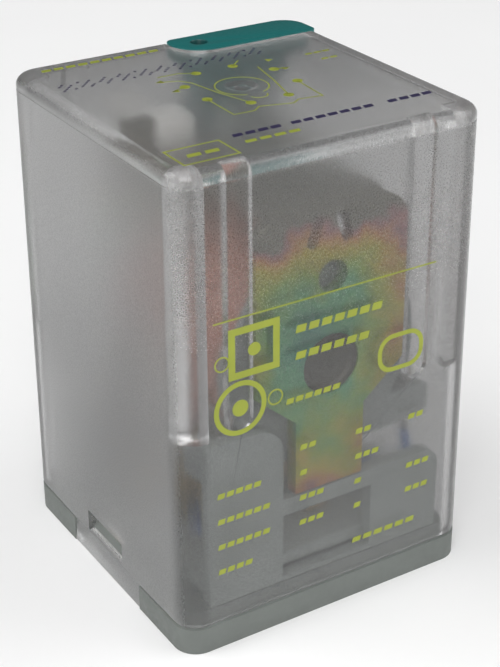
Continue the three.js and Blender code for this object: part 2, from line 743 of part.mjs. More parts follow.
// One of the two staking slots at the plate's top, which lean together at their upper ends.
function stakingSlot(side) {
  const middleX = -0.4;
  const spacing = 1.65;
  const middleZ = 43.6;
  const halfWidth = 0.65;
  const halfLength = 1.7;
  const lean = 0.33;
  const outline = roundedOutline(-halfWidth, -halfLength, halfWidth, halfLength, Array(4).fill(0.6));
  return slabY(outline, -PAST, YOKE_BACK_Y + 2)
    .rotateY(side * -lean)
    .translate(middleX + side * spacing, 0, middleZ);
}

function yoke() {
  const tooling = { radius: 1.7, z: 38.6 };
  const armEdge = YOKE_ARM_HALF_WIDTH - 1;
  const earBackY = EAR_FRONT_Y + YOKE_THICKNESS;
  const body = join([
    slabY(yokePlateOutline(), YOKE_FRONT_Y, YOKE_BACK_Y),
    slabX(yokeBendOutline(), -YOKE_ARM_HALF_WIDTH, YOKE_ARM_HALF_WIDTH),
    box([EAR_LEFT_X, EAR_FRONT_Y, YOKE_ARM_LOW_Z], [-armEdge, earBackY + 1, YOKE_TOP_Z]),
    box([EAR_LEFT_X, EAR_FRONT_Y, YOKE_ARM_LOW_Z], [EAR_RIGHT_X, earBackY, YOKE_TOP_Z + EAR_HEIGHT]),
  ]);
  const rivetHole = rodZ(
    RIVET_HOLE_RADIUS,
    YOKE_ARM_LOW_Z - 1,
    YOKE_TOP_Z + 1,
    SUSPENSION_X,
    SUSPENSION_RIVET_Y,
    12,
  );
  return cut(body, [
    stakingSlot(-1),
    stakingSlot(1),
    rodY(tooling.radius, -PAST, YOKE_BACK_Y + 2, 0, tooling.z),
    rodY(CORE_NECK_RADIUS + RUN, -PAST, YOKE_BACK_Y + 2, 0, COIL_AXIS_Z),
    rivetHole,
  ]);
}

// Iron core: riveted neck through the yoke, shank through the former and a wide pole shoe.
function core() {
  const back = YOKE_BACK_Y + RUN;
  const face = YOKE_FRONT_Y + 0.05;
  const dishDepth = 0.4;
  const shoeFront = FORMER_BACK_Y + RUN;
  const grooveFloor = POLE_FACE_Y - SHADING_GROOVE_DEPTH;
  return turnedAlongY(
    [
      [0, face + dishDepth],
      [CORE_DISH_RADIUS - 0.2, face + dishDepth],
      [CORE_DISH_RADIUS, face],
      [CORE_NECK_RADIUS, face],
      [CORE_NECK_RADIUS, back],
      [CORE_RADIUS, back],
      [CORE_RADIUS, shoeFront],
      [POLE_SHOE_RADIUS, shoeFront],
      [POLE_SHOE_RADIUS, POLE_FACE_Y],
      [SHADING_GROOVE_OUTER, POLE_FACE_Y],
      [SHADING_GROOVE_OUTER, grooveFloor],
      [SHADING_GROOVE_INNER, grooveFloor],
      [SHADING_GROOVE_INNER, POLE_FACE_Y],
      [0, POLE_FACE_Y],
    ],
    28,
  ).translate(0, 0, COIL_AXIS_Z);
}

// A plain tube round the coil axis between two radii.
function coilRing(inner, outer, y0, y1, segments) {
  return turnedAlongY(
    [
      [inner, y0],
      [outer, y0],
      [outer, y1],
      [inner, y1],
      [inner, y0],
    ],
    segments,
  ).translate(0, 0, COIL_AXIS_Z);
}

// Copper shading ring in the groove of the pole face.
const shadingRing = () =>
  coilRing(
    SHADING_GROOVE_INNER + RUN,
    SHADING_GROOVE_OUTER - RUN,
    POLE_FACE_Y - SHADING_GROOVE_DEPTH + RUN,
    POLE_FACE_Y - 0.05,
    28,
  );

// Coil former: a tube with two round flanges, and a bar with two ears for the coil terminals.
function coilFormer() {
  const frontFlangeBack = FORMER_FRONT_Y + FORMER_FLANGE;
  const backFlangeFront = FORMER_BACK_Y - FORMER_FLANGE;
  const bore = CORE_RADIUS + RUN;
  const earHalf = 1.4;
  const earBackY = TERMINAL_Y + 1.6;
  const corners = [1, 1, 1, 1];
  const tube = turnedAlongY(
    [
      [bore, FORMER_FRONT_Y],
      [FLANGE_RADIUS, FORMER_FRONT_Y],
      [FLANGE_RADIUS, frontFlangeBack],
      [FORMER_TUBE_RADIUS, frontFlangeBack],
      [FORMER_TUBE_RADIUS, backFlangeFront],
      [FLANGE_RADIUS, backFlangeFront],
      [FLANGE_RADIUS, FORMER_BACK_Y],
      [bore, FORMER_BACK_Y],
      [bore, FORMER_FRONT_Y],
    ],
    40,
  ).translate(0, 0, COIL_AXIS_Z);
  const barEnd = TERMINAL_X + earHalf;
  const bar = roundedOutline(-barEnd, TERMINAL_BAR_LOW_Z, barEnd, TERMINAL_BAR_HIGH_Z, corners);
  const ear = (side) =>
    roundedOutline(
      side * TERMINAL_X - earHalf,
      TERMINAL_BAR_LOW_Z,
      side * TERMINAL_X + earHalf,
      TERMINAL_BAR_HIGH_Z,
      corners,
    );
  const body = join([
    tube,
    slabY(bar, FORMER_FRONT_Y, frontFlangeBack),
    ...SIDES.map(([, side]) => slabY(ear(side), FORMER_FRONT_Y, earBackY)),
  ]);
  const holes = SIDES.map(([, side]) =>
    rodZ(TERMINAL_RADIUS + RUN, 0, COIL_AXIS_Z, side * TERMINAL_X, TERMINAL_Y, 12),
  );
  return cut(body, holes);
}

const winding = () =>
  coilRing(
    FORMER_TUBE_RADIUS + RUN,
    WINDING_RADIUS,
    FORMER_FRONT_Y + FORMER_FLANGE + GAP,
    FORMER_BACK_Y - FORMER_FLANGE - GAP,
    40,
  );

function coilTape() {
  const thickness = 0.25;
  const setback = FORMER_FLANGE + 0.5;
  const inner = WINDING_RADIUS + RUN;
  return coilRing(inner, inner + thickness, FORMER_FRONT_Y + setback, FORMER_BACK_Y - setback, 40);
}

const coilTerminal = (side) =>
  rodZ(TERMINAL_RADIUS, TERMINAL_FOOT_Z, TERMINAL_TOP_Z, side * TERMINAL_X, TERMINAL_Y, 12);

// Insulated lead from a coil terminal to its octal pin.
function coilLead(side, pin) {
  const [x, y] = pinPlace(pin);
  const curve = new THREE.CatmullRomCurve3([
    new THREE.Vector3(side * TERMINAL_X, TERMINAL_Y, TERMINAL_FOOT_Z - GAP),
    new THREE.Vector3(side * TERMINAL_X, TERMINAL_Y, 12.6),
    new THREE.Vector3(side * 11.4, -9, 9.6),
    new THREE.Vector3(x, y, 8.4),
    new THREE.Vector3(x, y, STRAP_Z + 0.2),
  ]);
  return wire(curve, LEAD_RADIUS, 14, 8);
}

// ---------------------------------------------------------------- armature

// Hinged plate: wide behind the pole, with a tongue below that drives the pusher card.
function armature() {
  const outline = roundedOutline(
    -ARMATURE_HALF_WIDTH,
    ARMATURE_LOW_Z,
    ARMATURE_HALF_WIDTH,
    YOKE_TOP_Z - GAP,
    [1.5, 1.5, 0.5, 0.5],
  );
  const dimple = turnedAlongY(
    [
      [0, ARMATURE_BACK_Y - 0.5],
      [1.3, ARMATURE_BACK_Y - 0.5],
      [1.3, ARMATURE_BACK_Y],
      [0.6, ARMATURE_BACK_Y + DIMPLE_HEIGHT - 0.1],
      [0, ARMATURE_BACK_Y + DIMPLE_HEIGHT],
    ],
    16,
  ).translate(DIMPLE_X, 0, RAMP_Z);
  const body = join([
    slabY(outline, ARMATURE_FRONT_Y, ARMATURE_BACK_Y),
    box(
      [-TONGUE_HALF_WIDTH, ARMATURE_FRONT_Y, CARD_Z - 0.5],
      [TONGUE_HALF_WIDTH, ARMATURE_BACK_Y, ARMATURE_LOW_Z + 0.8],
    ),
    dimple,
  ]);
  const hole = rodY(RIVET_HOLE_RADIUS, 0, PAST, SUSPENSION_X, ARMATURE_RIVET_Z, 12);
  return cut(body, [hole]);
}

// Flat spring that hangs the armature from the yoke arm and swings it open again.
function suspensionSpring() {
  const low = YOKE_TOP_Z + 0.15;
  const high = low + SUSPENSION_THICKNESS;
  const frontY = ARMATURE_BACK_Y + GAP;
  const backY = frontY + SUSPENSION_THICKNESS;
  const bend = 1;
  const outline = new THREE.Shape();
  outline.moveTo(SUSPENSION_FRONT_Y, low);
  outline.lineTo(frontY - bend, low);
  outline.absarc(frontY - bend, low - bend, bend, Math.PI / 2, 0, true);
  outline.lineTo(frontY, SUSPENSION_LOW_Z);
  outline.lineTo(backY, SUSPENSION_LOW_Z);
  outline.lineTo(backY, low - bend);
  outline.absarc(frontY - bend, low - bend, bend + SUSPENSION_THICKNESS, 0, Math.PI / 2);
  outline.lineTo(SUSPENSION_FRONT_Y, high);
  const left = SUSPENSION_X - SUSPENSION_HALF_WIDTH;
  const right = SUSPENSION_X + SUSPENSION_HALF_WIDTH;
  return cut(solid(slabX(outline, left, right)), [
    rodZ(RIVET_HOLE_RADIUS, YOKE_ARM_LOW_Z, BODY_HEIGHT, SUSPENSION_X, SUSPENSION_RIVET_Y, 12),
    rodY(RIVET_HOLE_RADIUS, YOKE_ARM_END_Y, PAST, SUSPENSION_X, ARMATURE_RIVET_Z, 12),
  ]);
}

// Round-headed rivet standing on Z = 0 with its shank below.
function rivet(shank) {
  const shankRadius = RIVET_HOLE_RADIUS - 0.15;
  return turned(
    [
      [0, -shank],
      [shankRadius, -shank],
      [shankRadius, 0],
      [1.6, 0],
      [1.5, 0.35],
      [0.9, 0.7],
      [0, 0.75],
    ],
    16,
  );
}

const suspensionRivetYoke = () =>
  rivet(1.7).translate(SUSPENSION_X, SUSPENSION_RIVET_Y, YOKE_TOP_Z + 0.5);

const suspensionRivetArmature = () =>
  rivet(1.6)
    .rotateX(-Math.PI / 2)
    .translate(SUSPENSION_X, ARMATURE_BACK_Y + 0.65, ARMATURE_RIVET_Z);

// Position flag clipped over the armature. Its head, rounded at the upper right, ends close under
// the cover top.
function positionFlag() {
  const low = FLAG_LOW_Z;
  const armTop = low + 1;
  const armLeft = FLAG_LEFT_X + 0.4;
  const clipLeft = -ARMATURE_HALF_WIDTH + 0.4;
  const right = FLAG_RIGHT_X - 0.4;
  const clipFoot = 43.6;
  const clipFrontY = ARMATURE_BACK_Y + RUN;
  const clipBackY = clipFrontY + 0.8;
  const across = roundedOutline(FLAG_LEFT_X, low, FLAG_RIGHT_X, FLAG_TOP_Z, [0.2, 0.2, 1, 0.2]);
  const along = roundedOutline(FLAG_FRONT_Y, low, FLAG_HEAD_BACK_Y, FLAG_TOP_Z, [0.2, 0.2, 1.2, 0.2]);
  const head = solid(slabY(across, FLAG_FRONT_Y, FLAG_HEAD_BACK_Y)).intersect(
    solid(slabX(along, FLAG_LEFT_X, FLAG_RIGHT_X)),
  );
  const clip = join([
    box([armLeft, FLAG_HEAD_BACK_Y - 0.5, low], [right, clipBackY, armTop]),
    box([clipLeft, clipFrontY, clipFoot], [right, clipBackY, low + 0.5]),
  ]);
  return head.add(clip);
}

// ---------------------------------------------------------------- card and button

// Sliding card: a window for the armature's tongue and a slot for each moving leaf.
function pusherCard() {
  const top = CARD_Z + CARD_THICKNESS;
  const outline = roundedOutline(
    -CARD_HALF_WIDTH,
    CARD_FRONT_Y,
    CARD_HALF_WIDTH,
    CARD_BACK_Y,
    [1, 1, 2, 2],
  );
  const windowHalf = TONGUE_HALF_WIDTH + 0.4;
  const play = 0.35;
  const reliefHalf = 3;
  const reliefBackY = 5.5;
  const slotHalf = LEAF_HALF_WIDTH + GAP;
  const slotReach = 0.5;
  return cut(solid(raised(outline, CARD_Z, top)), [
    box(
      [-windowHalf, ARMATURE_FRONT_Y - play, CARD_Z - 1],
      [windowHalf, ARMATURE_BACK_Y + play, top + 1],
    ),
    box([-reliefHalf, CARD_FRONT_Y - 1, CARD_Z - 1], [reliefHalf, reliefBackY, top + 1]),
    ...SIDES.map(([, side]) =>
      sideBox(
        side,
        [LEAF_X - slotHalf, LEAF_Y - slotReach, CARD_Z - 1],
        [LEAF_X + slotHalf, LEAF_Y + slotReach, top + 1],
      ),
    ),
  ]);
}

// Leg of the test button, whose ramp pushes the armature's dimple as the button goes down.
function buttonLeg() {
  const backY = 15.2;
  const halfWidth = 1.6;
  const slope = ((YOKE_ARM_LOW_Z - RAMP_Z) * ARMATURE_SWING) / BUTTON_STROKE;
  const touchY = ARMATURE_BACK_Y + DIMPLE_HEIGHT + RUN;
  const foot = RAMP_Z - 2;
  const rampTop = RAMP_Z + BUTTON_STROKE + 0.1;
  const legTop = BUTTON_BODY_Z + 1;
  const faceY = (z) => touchY - slope * (z - RAMP_Z);
  const outline = new THREE.Shape();
  outline.moveTo(faceY(foot), foot);
  outline.lineTo(backY, foot);
  outline.lineTo(backY, legTop);
  outline.lineTo(faceY(rampTop), legTop);
  outline.lineTo(faceY(rampTop), rampTop);
  return slabX(outline, DIMPLE_X - halfWidth, DIMPLE_X + halfWidth);
}

// Test button: a head flush with the cover, a body inside it and a leg that ends in a ramp.
function testButton() {
  const farX = BODY_HALF - COVER_DRAFT;
  const bodyLow = [2, 12.9, BUTTON_BODY_Z];
  const bodyHigh = [13.8, 15.6, BUTTON_HEAD_Z + 1];
  const head = roundedOutline(BUTTON_LEFT_X, BUTTON_FRONT_Y, farX, farX, [
    BUTTON_ROUNDING,
    0.6,
    CORNER_RADIUS,
    1,
  ]);
  const pegLow = BUTTON_BODY_Z - PEG_HEIGHT;
  return join([
    raised(head, BUTTON_HEAD_Z, BODY_HEIGHT),
    box(bodyLow, bodyHigh),
    buttonLeg(),
    rodZ(PEG_RADIUS, pegLow, BUTTON_BODY_Z + 0.5, BUTTON_SPRING_X, BUTTON_SPRING_Y, 12),
  ]);
}

// Compression spring between the shelf and the button.
function buttonSpring() {
  const low = SHELF_TOP_Z + 2 * BUTTON_SPRING_WIRE;
  const high = BUTTON_BODY_Z - 2 * BUTTON_SPRING_WIRE;
  class Helix extends THREE.Curve {
    getPoint(t, target = new THREE.Vector3()) {
      const angle = 2 * Math.PI * BUTTON_SPRING_TURNS * t;
      const x = BUTTON_SPRING_RADIUS * Math.cos(angle);
      const y = BUTTON_SPRING_RADIUS * Math.sin(angle);
      return target.set(x, y, low + (high - low) * t);
    }
  }
  return wire(new Helix(), BUTTON_SPRING_WIRE, 64, 6).translate(BUTTON_SPRING_X, BUTTON_SPRING_Y, 0);
}

// ---------------------------------------------------------------- assembly

add("cover", cover(), FROSTED);
add("base_plate", basePlate(), BASE_GREY);
add("contact_block", contactBlock(), BLOCK_GREY);
for (const number of PIN_NUMBERS) add("pin_" + number, octalPin(number), TINNED);

add("yoke", yoke(), CHROMATE);
add("core", core(), IRON);
add("shading_ring", shadingRing(), COPPER);
add("coil_former", coilFormer(), NYLON);
add("winding", winding(), COPPER);
add("coil_tape", coilTape(), TAPE);

for (const [name, side] of SIDES) {
  const pins = PINS[name];
  add("coil_terminal_" + name, coilTerminal(side), TINNED);
  add("coil_lead_" + name, coilLead(side, pins.coil), LEAD_SLEEVE);
  add("common_terminal_" + name, commonTerminal(side, pins.common), BRASS);
  add("open_terminal_" + name, fixedTerminal(side, OPEN_BLADE_Y, OPEN_BLADE_Y, pins.open), BRASS);
  add("open_contact_" + name, fixedTip(side, OPEN_BLADE_Y + STRAP_THICKNESS, 1), SILVER);
  add("closed_terminal_" + name, fixedTerminal(side, CLOSED_BLADE_Y, CLOSED_FOOT_Y, pins.closed), BRASS);
  add("closed_contact_" + name, fixedTip(side, CLOSED_BLADE_Y, -1), SILVER);
  add("contact_spring_" + name, movingLeaf(side), BRASS);
  add("moving_contact_" + name, movingTip(side), SILVER);
}

add("armature", armature(), CHROMATE);
add("armature_spring", suspensionSpring(), SPRING_STEEL);
add("spring_rivet_yoke", suspensionRivetYoke(), TINNED);
add("spring_rivet_armature", suspensionRivetArmature(), TINNED);
add("position_flag", positionFlag(), CARD_WHITE);
add("pusher_card", pusherCard(), CARD_WHITE);
add("test_button", testButton(), TEAL);
add("button_spring", buttonSpring(), SPRING_STEEL);

export default group;
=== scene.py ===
"""Looks of a plug-in control relay with an octal base.

A frosted cover with printed marks stands over a chromated yoke, a coil and two changeover
contact sets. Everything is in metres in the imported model's frame, +Z up, with -Y the front.
"""

import json
import math

import bmesh
import bpy
from mathutils import Matrix, Vector


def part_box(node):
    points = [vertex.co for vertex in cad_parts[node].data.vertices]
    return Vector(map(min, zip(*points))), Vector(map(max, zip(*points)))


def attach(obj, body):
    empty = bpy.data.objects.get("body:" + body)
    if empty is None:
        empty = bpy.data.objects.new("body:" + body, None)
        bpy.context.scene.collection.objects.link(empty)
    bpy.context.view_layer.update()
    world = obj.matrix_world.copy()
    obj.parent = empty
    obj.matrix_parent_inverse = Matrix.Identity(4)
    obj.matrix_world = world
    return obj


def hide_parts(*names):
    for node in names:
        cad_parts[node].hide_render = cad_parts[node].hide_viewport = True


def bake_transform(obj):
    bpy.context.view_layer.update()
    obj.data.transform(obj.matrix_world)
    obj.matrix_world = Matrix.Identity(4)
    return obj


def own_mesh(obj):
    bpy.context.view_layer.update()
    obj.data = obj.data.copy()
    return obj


MM = 0.001
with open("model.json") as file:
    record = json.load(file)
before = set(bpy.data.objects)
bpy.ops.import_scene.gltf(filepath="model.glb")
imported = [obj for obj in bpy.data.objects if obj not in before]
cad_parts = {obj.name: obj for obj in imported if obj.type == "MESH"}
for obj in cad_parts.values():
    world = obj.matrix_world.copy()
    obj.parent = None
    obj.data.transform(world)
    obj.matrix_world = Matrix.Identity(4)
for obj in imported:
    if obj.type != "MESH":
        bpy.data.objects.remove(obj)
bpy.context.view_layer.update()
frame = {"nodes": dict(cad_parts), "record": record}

COVER_LOW, COVER_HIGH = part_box("cover")
BUTTON_LOW, BUTTON_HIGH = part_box("test_button")
SPRING_LOW, SPRING_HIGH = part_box("button_spring")
HALF = COVER_HIGH.x  # half the side of the square body
TOP = COVER_HIGH.z
PRESS = next(j for j in frame["record"]["behaviour"]["joints"] if j["name"] == "test_button_press")
SHELF_Z = PRESS["deforming_nodes"][0]["fixed_end_z_m"]  # shelf that the button's spring stands on
DRAFT = 0.2 * MM  # how far each side leans in at the top
CORNER_RADIUS = 2.6 * MM
WALL = 1.2 * MM
LEDGE_Z = 3.1 * MM  # lower edge of the cover over the flange
INK = 0.015 * MM  # thickness of the printed marks
INK_GAP = 0.004 * MM
DIMPLE = (BUTTON_LOW.x + 3.1 * MM, BUTTON_HIGH.y - 2.35 * MM, 0)  # screwdriver dimple in the button
DIMPLE_RADIUS = 0.9 * MM
HEAD_FRONT_Y = BUTTON_HIGH.y - 5.25 * MM  # front side of the button's head
COLUMN_SIDE = 2.3 * MM  # corner columns inside the cover
COLUMN_FOOT_Z = 24.4 * MM  # lower end of the columns and of the guide ribs
RIB_NEAR_X, RIB_FAR_X = 9.2 * MM, 11.9 * MM  # guide ribs on the front and back walls
RIB_DEPTH = 1.2 * MM
LID_Z = TOP - 1.6 * MM  # where the cover's sides turn over into its top
OUTSIDE = HALF + 1 * MM  # how far out the tools for the cover's inner shapes reach
CEILING = TOP + 1 * MM  # how high they reach
LID_BLEND = (LID_Z - 0.3 * MM, LID_Z + 0.2 * MM)  # where the sides' frost turns into the top's, and where the top's painted light and shade starts
FROST_GRAIN = 0.13 * MM
SUNK = 0.03 * MM  # the cover's top face lies this far below the CAD box, which leaves room for ink


# ---------------------------------------------------------------- mesh helpers


def link(name, mesh):
    """A new object that holds this mesh."""
    made = bpy.data.objects.new(name, mesh)
    bpy.context.scene.collection.objects.link(made)
    return made


def mesh_object(name, points, faces):
    """A new object from plain points and faces, with its faces pointing out."""
    mesh = bpy.data.meshes.new(name)
    mesh.from_pydata([tuple(p) for p in points], [], faces)
    shaped = bmesh.new()
    shaped.from_mesh(mesh)
    bmesh.ops.recalc_face_normals(shaped, faces=shaped.faces)
    shaped.to_mesh(mesh)
    shaped.free()
    return link(name, mesh)


def settle(piece):
    """Applies the piece's modifiers to its mesh."""
    graph = bpy.context.evaluated_depsgraph_get()
    mesh = bpy.data.meshes.new_from_object(piece.evaluated_get(graph), depsgraph=graph)
    piece.modifiers.clear()
    piece.data = mesh
    return piece


def cut_away(piece, tools):
    """Cuts the tools from the piece and removes the tools."""
    for tool in tools:
        step = piece.modifiers.new("cut", "BOOLEAN")
        step.operation = "DIFFERENCE"
        step.solver = "EXACT"
        step.object = tool
        settle(piece)
        bpy.data.objects.remove(tool)
    return piece


def smooth(piece, angle=35):
    """Smooth shading, with edges sharper than the angle kept sharp."""
    for face in piece.data.polygons:
        face.use_smooth = True
    piece.data.set_sharp_from_angle(angle=math.radians(angle))
    return piece


def soften(piece, width, segments=2, angle=35):
    """Rounds every edge sharper than the angle, then shades the piece smooth."""
    shaped = bmesh.new()
    shaped.from_mesh(piece.data)
    bmesh.ops.remove_doubles(shaped, verts=shaped.verts, dist=0.002 * MM)
    bmesh.ops.dissolve_limit(
        shaped,
        angle_limit=math.radians(1),
        verts=shaped.verts,
        edges=shaped.edges,
    )
    shaped.to_mesh(piece.data)
    shaped.free()
    rounding = piece.modifiers.new("rounding", "BEVEL")
    rounding.width = width
    rounding.segments = segments
    rounding.limit_method = "ANGLE"
    rounding.angle_limit = math.radians(angle)
    settle(piece)
    return smooth(piece, angle)


def box_tool(low, high):
    """A plain box between two corners, used to cut."""
    (x0, y0, z0), (x1, y1, z1) = low, high
    points = [(x, y, z) for x in (x0, x1) for y in (y0, y1) for z in (z0, z1)]
    faces = [(0, 1, 3, 2), (4, 6, 7, 5), (0, 4, 5, 1), (2, 3, 7, 6), (0, 2, 6, 4), (1, 5, 7, 3)]
    return mesh_object("tool", points, faces)


def rounded_outline(x0, y0, x1, y1, radii, steps=10):
    """Points round a rectangle with its own radius at each corner, from the lower left anticlockwise."""
    corners = [(x0, y0, 1, 1), (x1, y0, -1, 1), (x1, y1, -1, -1), (x0, y1, 1, -1)]
    points = []
    for number, ((x, y, sx, sy), radius) in enumerate(zip(corners, radii)):
        middle = (x + sx * radius, y + sy * radius)
        count = steps if radius > 0 else 0
        for k in range(count + 1):
            angle = math.pi + (number + k / steps) * math.pi / 2
            points.append((middle[0] + radius * math.cos(angle), middle[1] + radius * math.sin(angle)))
    return points


def stacked(name, levels):
    """A closed solid through outlines of equal length, each a list of 3-D points, from low to high."""
    count = len(levels[0])
    points = [p for level in levels for p in level]
    faces = [tuple(range(count))[::-1], tuple(range(len(points) - count, len(points)))]
    for row in range(len(levels) - 1):
        for k in range(count):
            after = (k + 1) % count
            low, high = row * count, (row + 1) * count
            faces.append((low + k, low + after, high + after, high + k))
    return mesh_object(name, points, faces)


def lathe(name, profile, segments=48):
    """A closed solid of revolution about Z from (radius, z) points that start and end on the axis,
    or that close on themselves."""
    points, rings = [], []
    for radius, z in profile:
        if radius == 0:
            rings.append([len(points)])
            points.append((0, 0, z))
            continue
        rings.append(list(range(len(points), len(points) + segments)))
        for k in range(segments):
            angle = 2 * math.pi * k / segments
            points.append((radius * math.cos(angle), radius * math.sin(angle), z))
    if profile[0][0] > 0:
        rings.append(rings[0])
    faces = []
    for a, b in zip(rings, rings[1:]):
        for k in range(segments):
            after = (k + 1) % segments
            corners = [a[k % len(a)], a[after % len(a)], b[after % len(b)], b[k % len(b)]]
            faces.append(tuple(dict.fromkeys(corners)))
    return mesh_object(name, points, faces)


def place(piece, matrix):
    """Moves the piece's mesh, so that the piece itself stays at the origin."""
    piece.data.transform(matrix)
    return piece


ALONG_Y = Matrix.Rotation(-math.pi / 2, 4, "X")  # turns +Z to +Y


def tube(name, points, radius, sides):
    """A round wire along a list of points."""
    line = bpy.data.curves.new(name, "CURVE")
    line.dimensions = "3D"
    line.bevel_depth = radius
    line.bevel_resolution = max(0, sides // 4 - 1)
    line.use_fill_caps = True
    spline = line.splines.new("POLY")
    spline.points.add(len(points) - 1)
    for made, point in zip(spline.points, points):
        made.co = (*point, 1)
    return line_mesh(name, line)


def line_mesh(name, line):
    """The mesh of a curve, as an object of its own."""
    curve = bpy.data.objects.new(name, line)
    bpy.context.scene.collection.objects.link(curve)
    graph = bpy.context.evaluated_depsgraph_get()
    mesh = bpy.data.meshes.new_from_object(curve.evaluated_get(graph), depsgraph=graph)
    bpy.data.objects.remove(curve)
    shaped = bmesh.new()
    shaped.from_mesh(mesh)
    bmesh.ops.remove_doubles(shaped, verts=shaped.verts, dist=0.001 * MM)
    bmesh.ops.recalc_face_normals(shaped, faces=shaped.faces)
    shaped.to_mesh(mesh)
    shaped.free()
    return smooth(link(name, mesh))


def spread(points, step):
    """A smooth curve through the points (Catmull-Rom), as points about one step apart."""
    ends = [points[0] * 2 - points[1], *points, points[-1] * 2 - points[-2]]
    found = [points[0]]
    for a, b, c, d in zip(ends, ends[1:], ends[2:], ends[3:]):
        count = max(2, round((c - b).length / step))
        for k in range(1, count + 1):
            t = k / count
            bent = (2 * a - 5 * b + 4 * c - d) * t**2 + (3 * b - a - 3 * c + d) * t**3
            found.append((2 * b + (c - a) * t + bent) / 2)
    return found


# ---------------------------------------------------------------- material helpers


class Look:
    """A node material that starts from one Principled shader and reads the piece's own place."""

    NOISE_SPAN = (0.3, 0.7)  # nearly all values of the noise lie between these

    def __init__(self, name, color, roughness, metallic=0.0, **sockets):
        self.material = bpy.data.materials.new(name)
        self.material.use_nodes = True
        self.tree = self.material.node_tree
        self.shader = self.tree.nodes["Principled BSDF"]
        self.place = self.add("ShaderNodeTexCoord").outputs["Object"]
        self.color = (*color, 1)
        self.shader.inputs["Base Color"].default_value = self.color
        self.shader.inputs["Roughness"].default_value = roughness
        self.shader.inputs["Metallic"].default_value = metallic
        for label, value in sockets.items():
            self.shader.inputs[label.replace("_", " ")].default_value = value

    def add(self, kind, **settings):
        """A new node of this kind."""
        node = self.tree.nodes.new(kind)
        for label, value in settings.items():
            setattr(node, label, value)
        return node

    def join(self, start, end):
        """Links an output to an input."""
        self.tree.links.new(start, end)

    def noise(self, size, detail=3.0, stretch=None):
        """Soft random values with features of about this size, in metres."""
        made = self.add("ShaderNodeTexNoise")
        made.inputs["Scale"].default_value = 1 / size
        made.inputs["Detail"].default_value = detail
        source = self.place
        if stretch:
            squeeze = self.add("ShaderNodeMapping")
            squeeze.inputs["Scale"].default_value = stretch
            self.join(source, squeeze.inputs["Vector"])
            source = squeeze.outputs["Vector"]
        self.join(source, made.inputs["Vector"])
        return made.outputs["Fac"]

    def ramp(self, source, stops):
        """Colours along a value, from (place, colour) pairs."""
        made = self.add("ShaderNodeValToRGB")
        entries = made.color_ramp.elements
        while len(entries) < len(stops):
            entries.new(0.5)
        for entry, (position, color) in zip(entries, stops):
            entry.position = position
            entry.color = (*color, 1)
        self.join(source, made.inputs["Fac"])
        return made.outputs["Color"]

    def between(self, source, low, high, out_low, out_high):
        """Maps a value from one range to another, clamped."""
        made = self.add("ShaderNodeMapRange")
        labels = ("From Min", "From Max", "To Min", "To Max")
        for label, value in zip(labels, (low, high, out_low, out_high)):
            made.inputs[label].default_value = value
        self.join(source, made.inputs["Value"])
        return made.outputs["Result"]

    def maths(self, operation, first, second=None):
        """One sum over numbers or node outputs."""
        made = self.add("ShaderNodeMath", operation=operation)
        for socket, value in zip(made.inputs, (first, second)):
            if value is None:
                continue
            if isinstance(value, (int, float)):
                socket.default_value = value
            else:
                self.join(value, socket)
        return made.outputs["Value"]

    def mottle(self, size, amount):
        """Slight patches of lighter and darker colour."""
        dark = tuple(c * (1 - amount) for c in self.color[:3])
        light = tuple(min(1, c * (1 + amount)) for c in self.color[:3])
        patches = self.ramp(self.noise(size), list(zip(self.NOISE_SPAN, (dark, light))))
        self.join(patches, self.shader.inputs["Base Color"])

    def rough(self, size, low, high, stretch=None):
        """Roughness that changes over the surface."""
        uneven = self.between(self.noise(size, stretch=stretch), *self.NOISE_SPAN, low, high)
        self.join(uneven, self.shader.inputs["Roughness"])

    def axes(self):
        """The piece's own X, Y and Z at each point."""
        parts = self.add("ShaderNodeSeparateXYZ")
        self.join(self.place, parts.inputs["Vector"])
        return [parts.outputs[axis] for axis in "XYZ"]

    def grain(self, size, height, strength=0.5, stretch=None):
        """Fine relief of this size and height."""
        bump = self.add("ShaderNodeBump")
        bump.inputs["Strength"].default_value = strength
        bump.inputs["Distance"].default_value = height
        self.join(self.noise(size, detail=2.0, stretch=stretch), bump.inputs["Height"])
        self.join(bump.outputs["Normal"], self.shader.inputs["Normal"])


def moulded(name, color, roughness):
    """Matt moulded plastic with a fine spark-eroded texture."""
    look = Look(name, color, roughness)
    look.mottle(3 * MM, 0.06)
    look.rough(0.6 * MM, roughness - 0.07, roughness + 0.07)
    look.grain(0.12 * MM, 0.01 * MM)
    return look.material


def metal(name, color, roughness, stretch=(1, 1, 12)):
    """Metal with faint drawing lines."""
    look = Look(name, color, roughness, 1.0)
    look.mottle(1.5 * MM, 0.08)
    look.rough(0.4 * MM, roughness - 0.08, roughness + 0.1, stretch)
    look.grain(0.1 * MM, 0.004 * MM, 0.4, stretch)
    return look.material


def frost_tint_and_painted_light(look, x, y, z):
    """Mottled tint of the cover with painted light and shade on it: painted lighter at the front of the top
    and on the right and back walls, painted darker at the back of the top, on the left wall and in the
    corner columns."""
    haze = look.between(look.noise(FROST_GRAIN), *look.NOISE_SPAN, 0.4, 0.84)
    lid = look.between(z, *LID_BLEND, 0, 1)
    lift = look.between(y, -HALF, HALF, 0.5, -0.2)
    column = HALF - WALL - COLUMN_SIDE
    corner = look.maths("MINIMUM", look.maths("ABSOLUTE", x), look.maths("ABSOLUTE", y))
    wall = (HALF - 0.75 * MM, HALF - 0.35 * MM)
    # painted light and shade: the front of the top lighter and its back darker, the corner columns and the
    # left wall darker, the right and back walls lighter
    painted_light_and_shade = [
        look.maths("ADD", look.maths("MULTIPLY", lid, lift), 1.0),
        look.between(corner, column + 0.15 * MM, column + 0.95 * MM, 1.0, 0.78),
        look.between(x, -wall[1], -wall[0], 0.8, 1.0),
        look.between(look.maths("MAXIMUM", x, y), *wall, 1.0, 1.25),
    ]
    for tint in painted_light_and_shade:
        haze = look.maths("MULTIPLY", haze, tint)
    look.join(haze, look.shader.inputs["Base Color"])


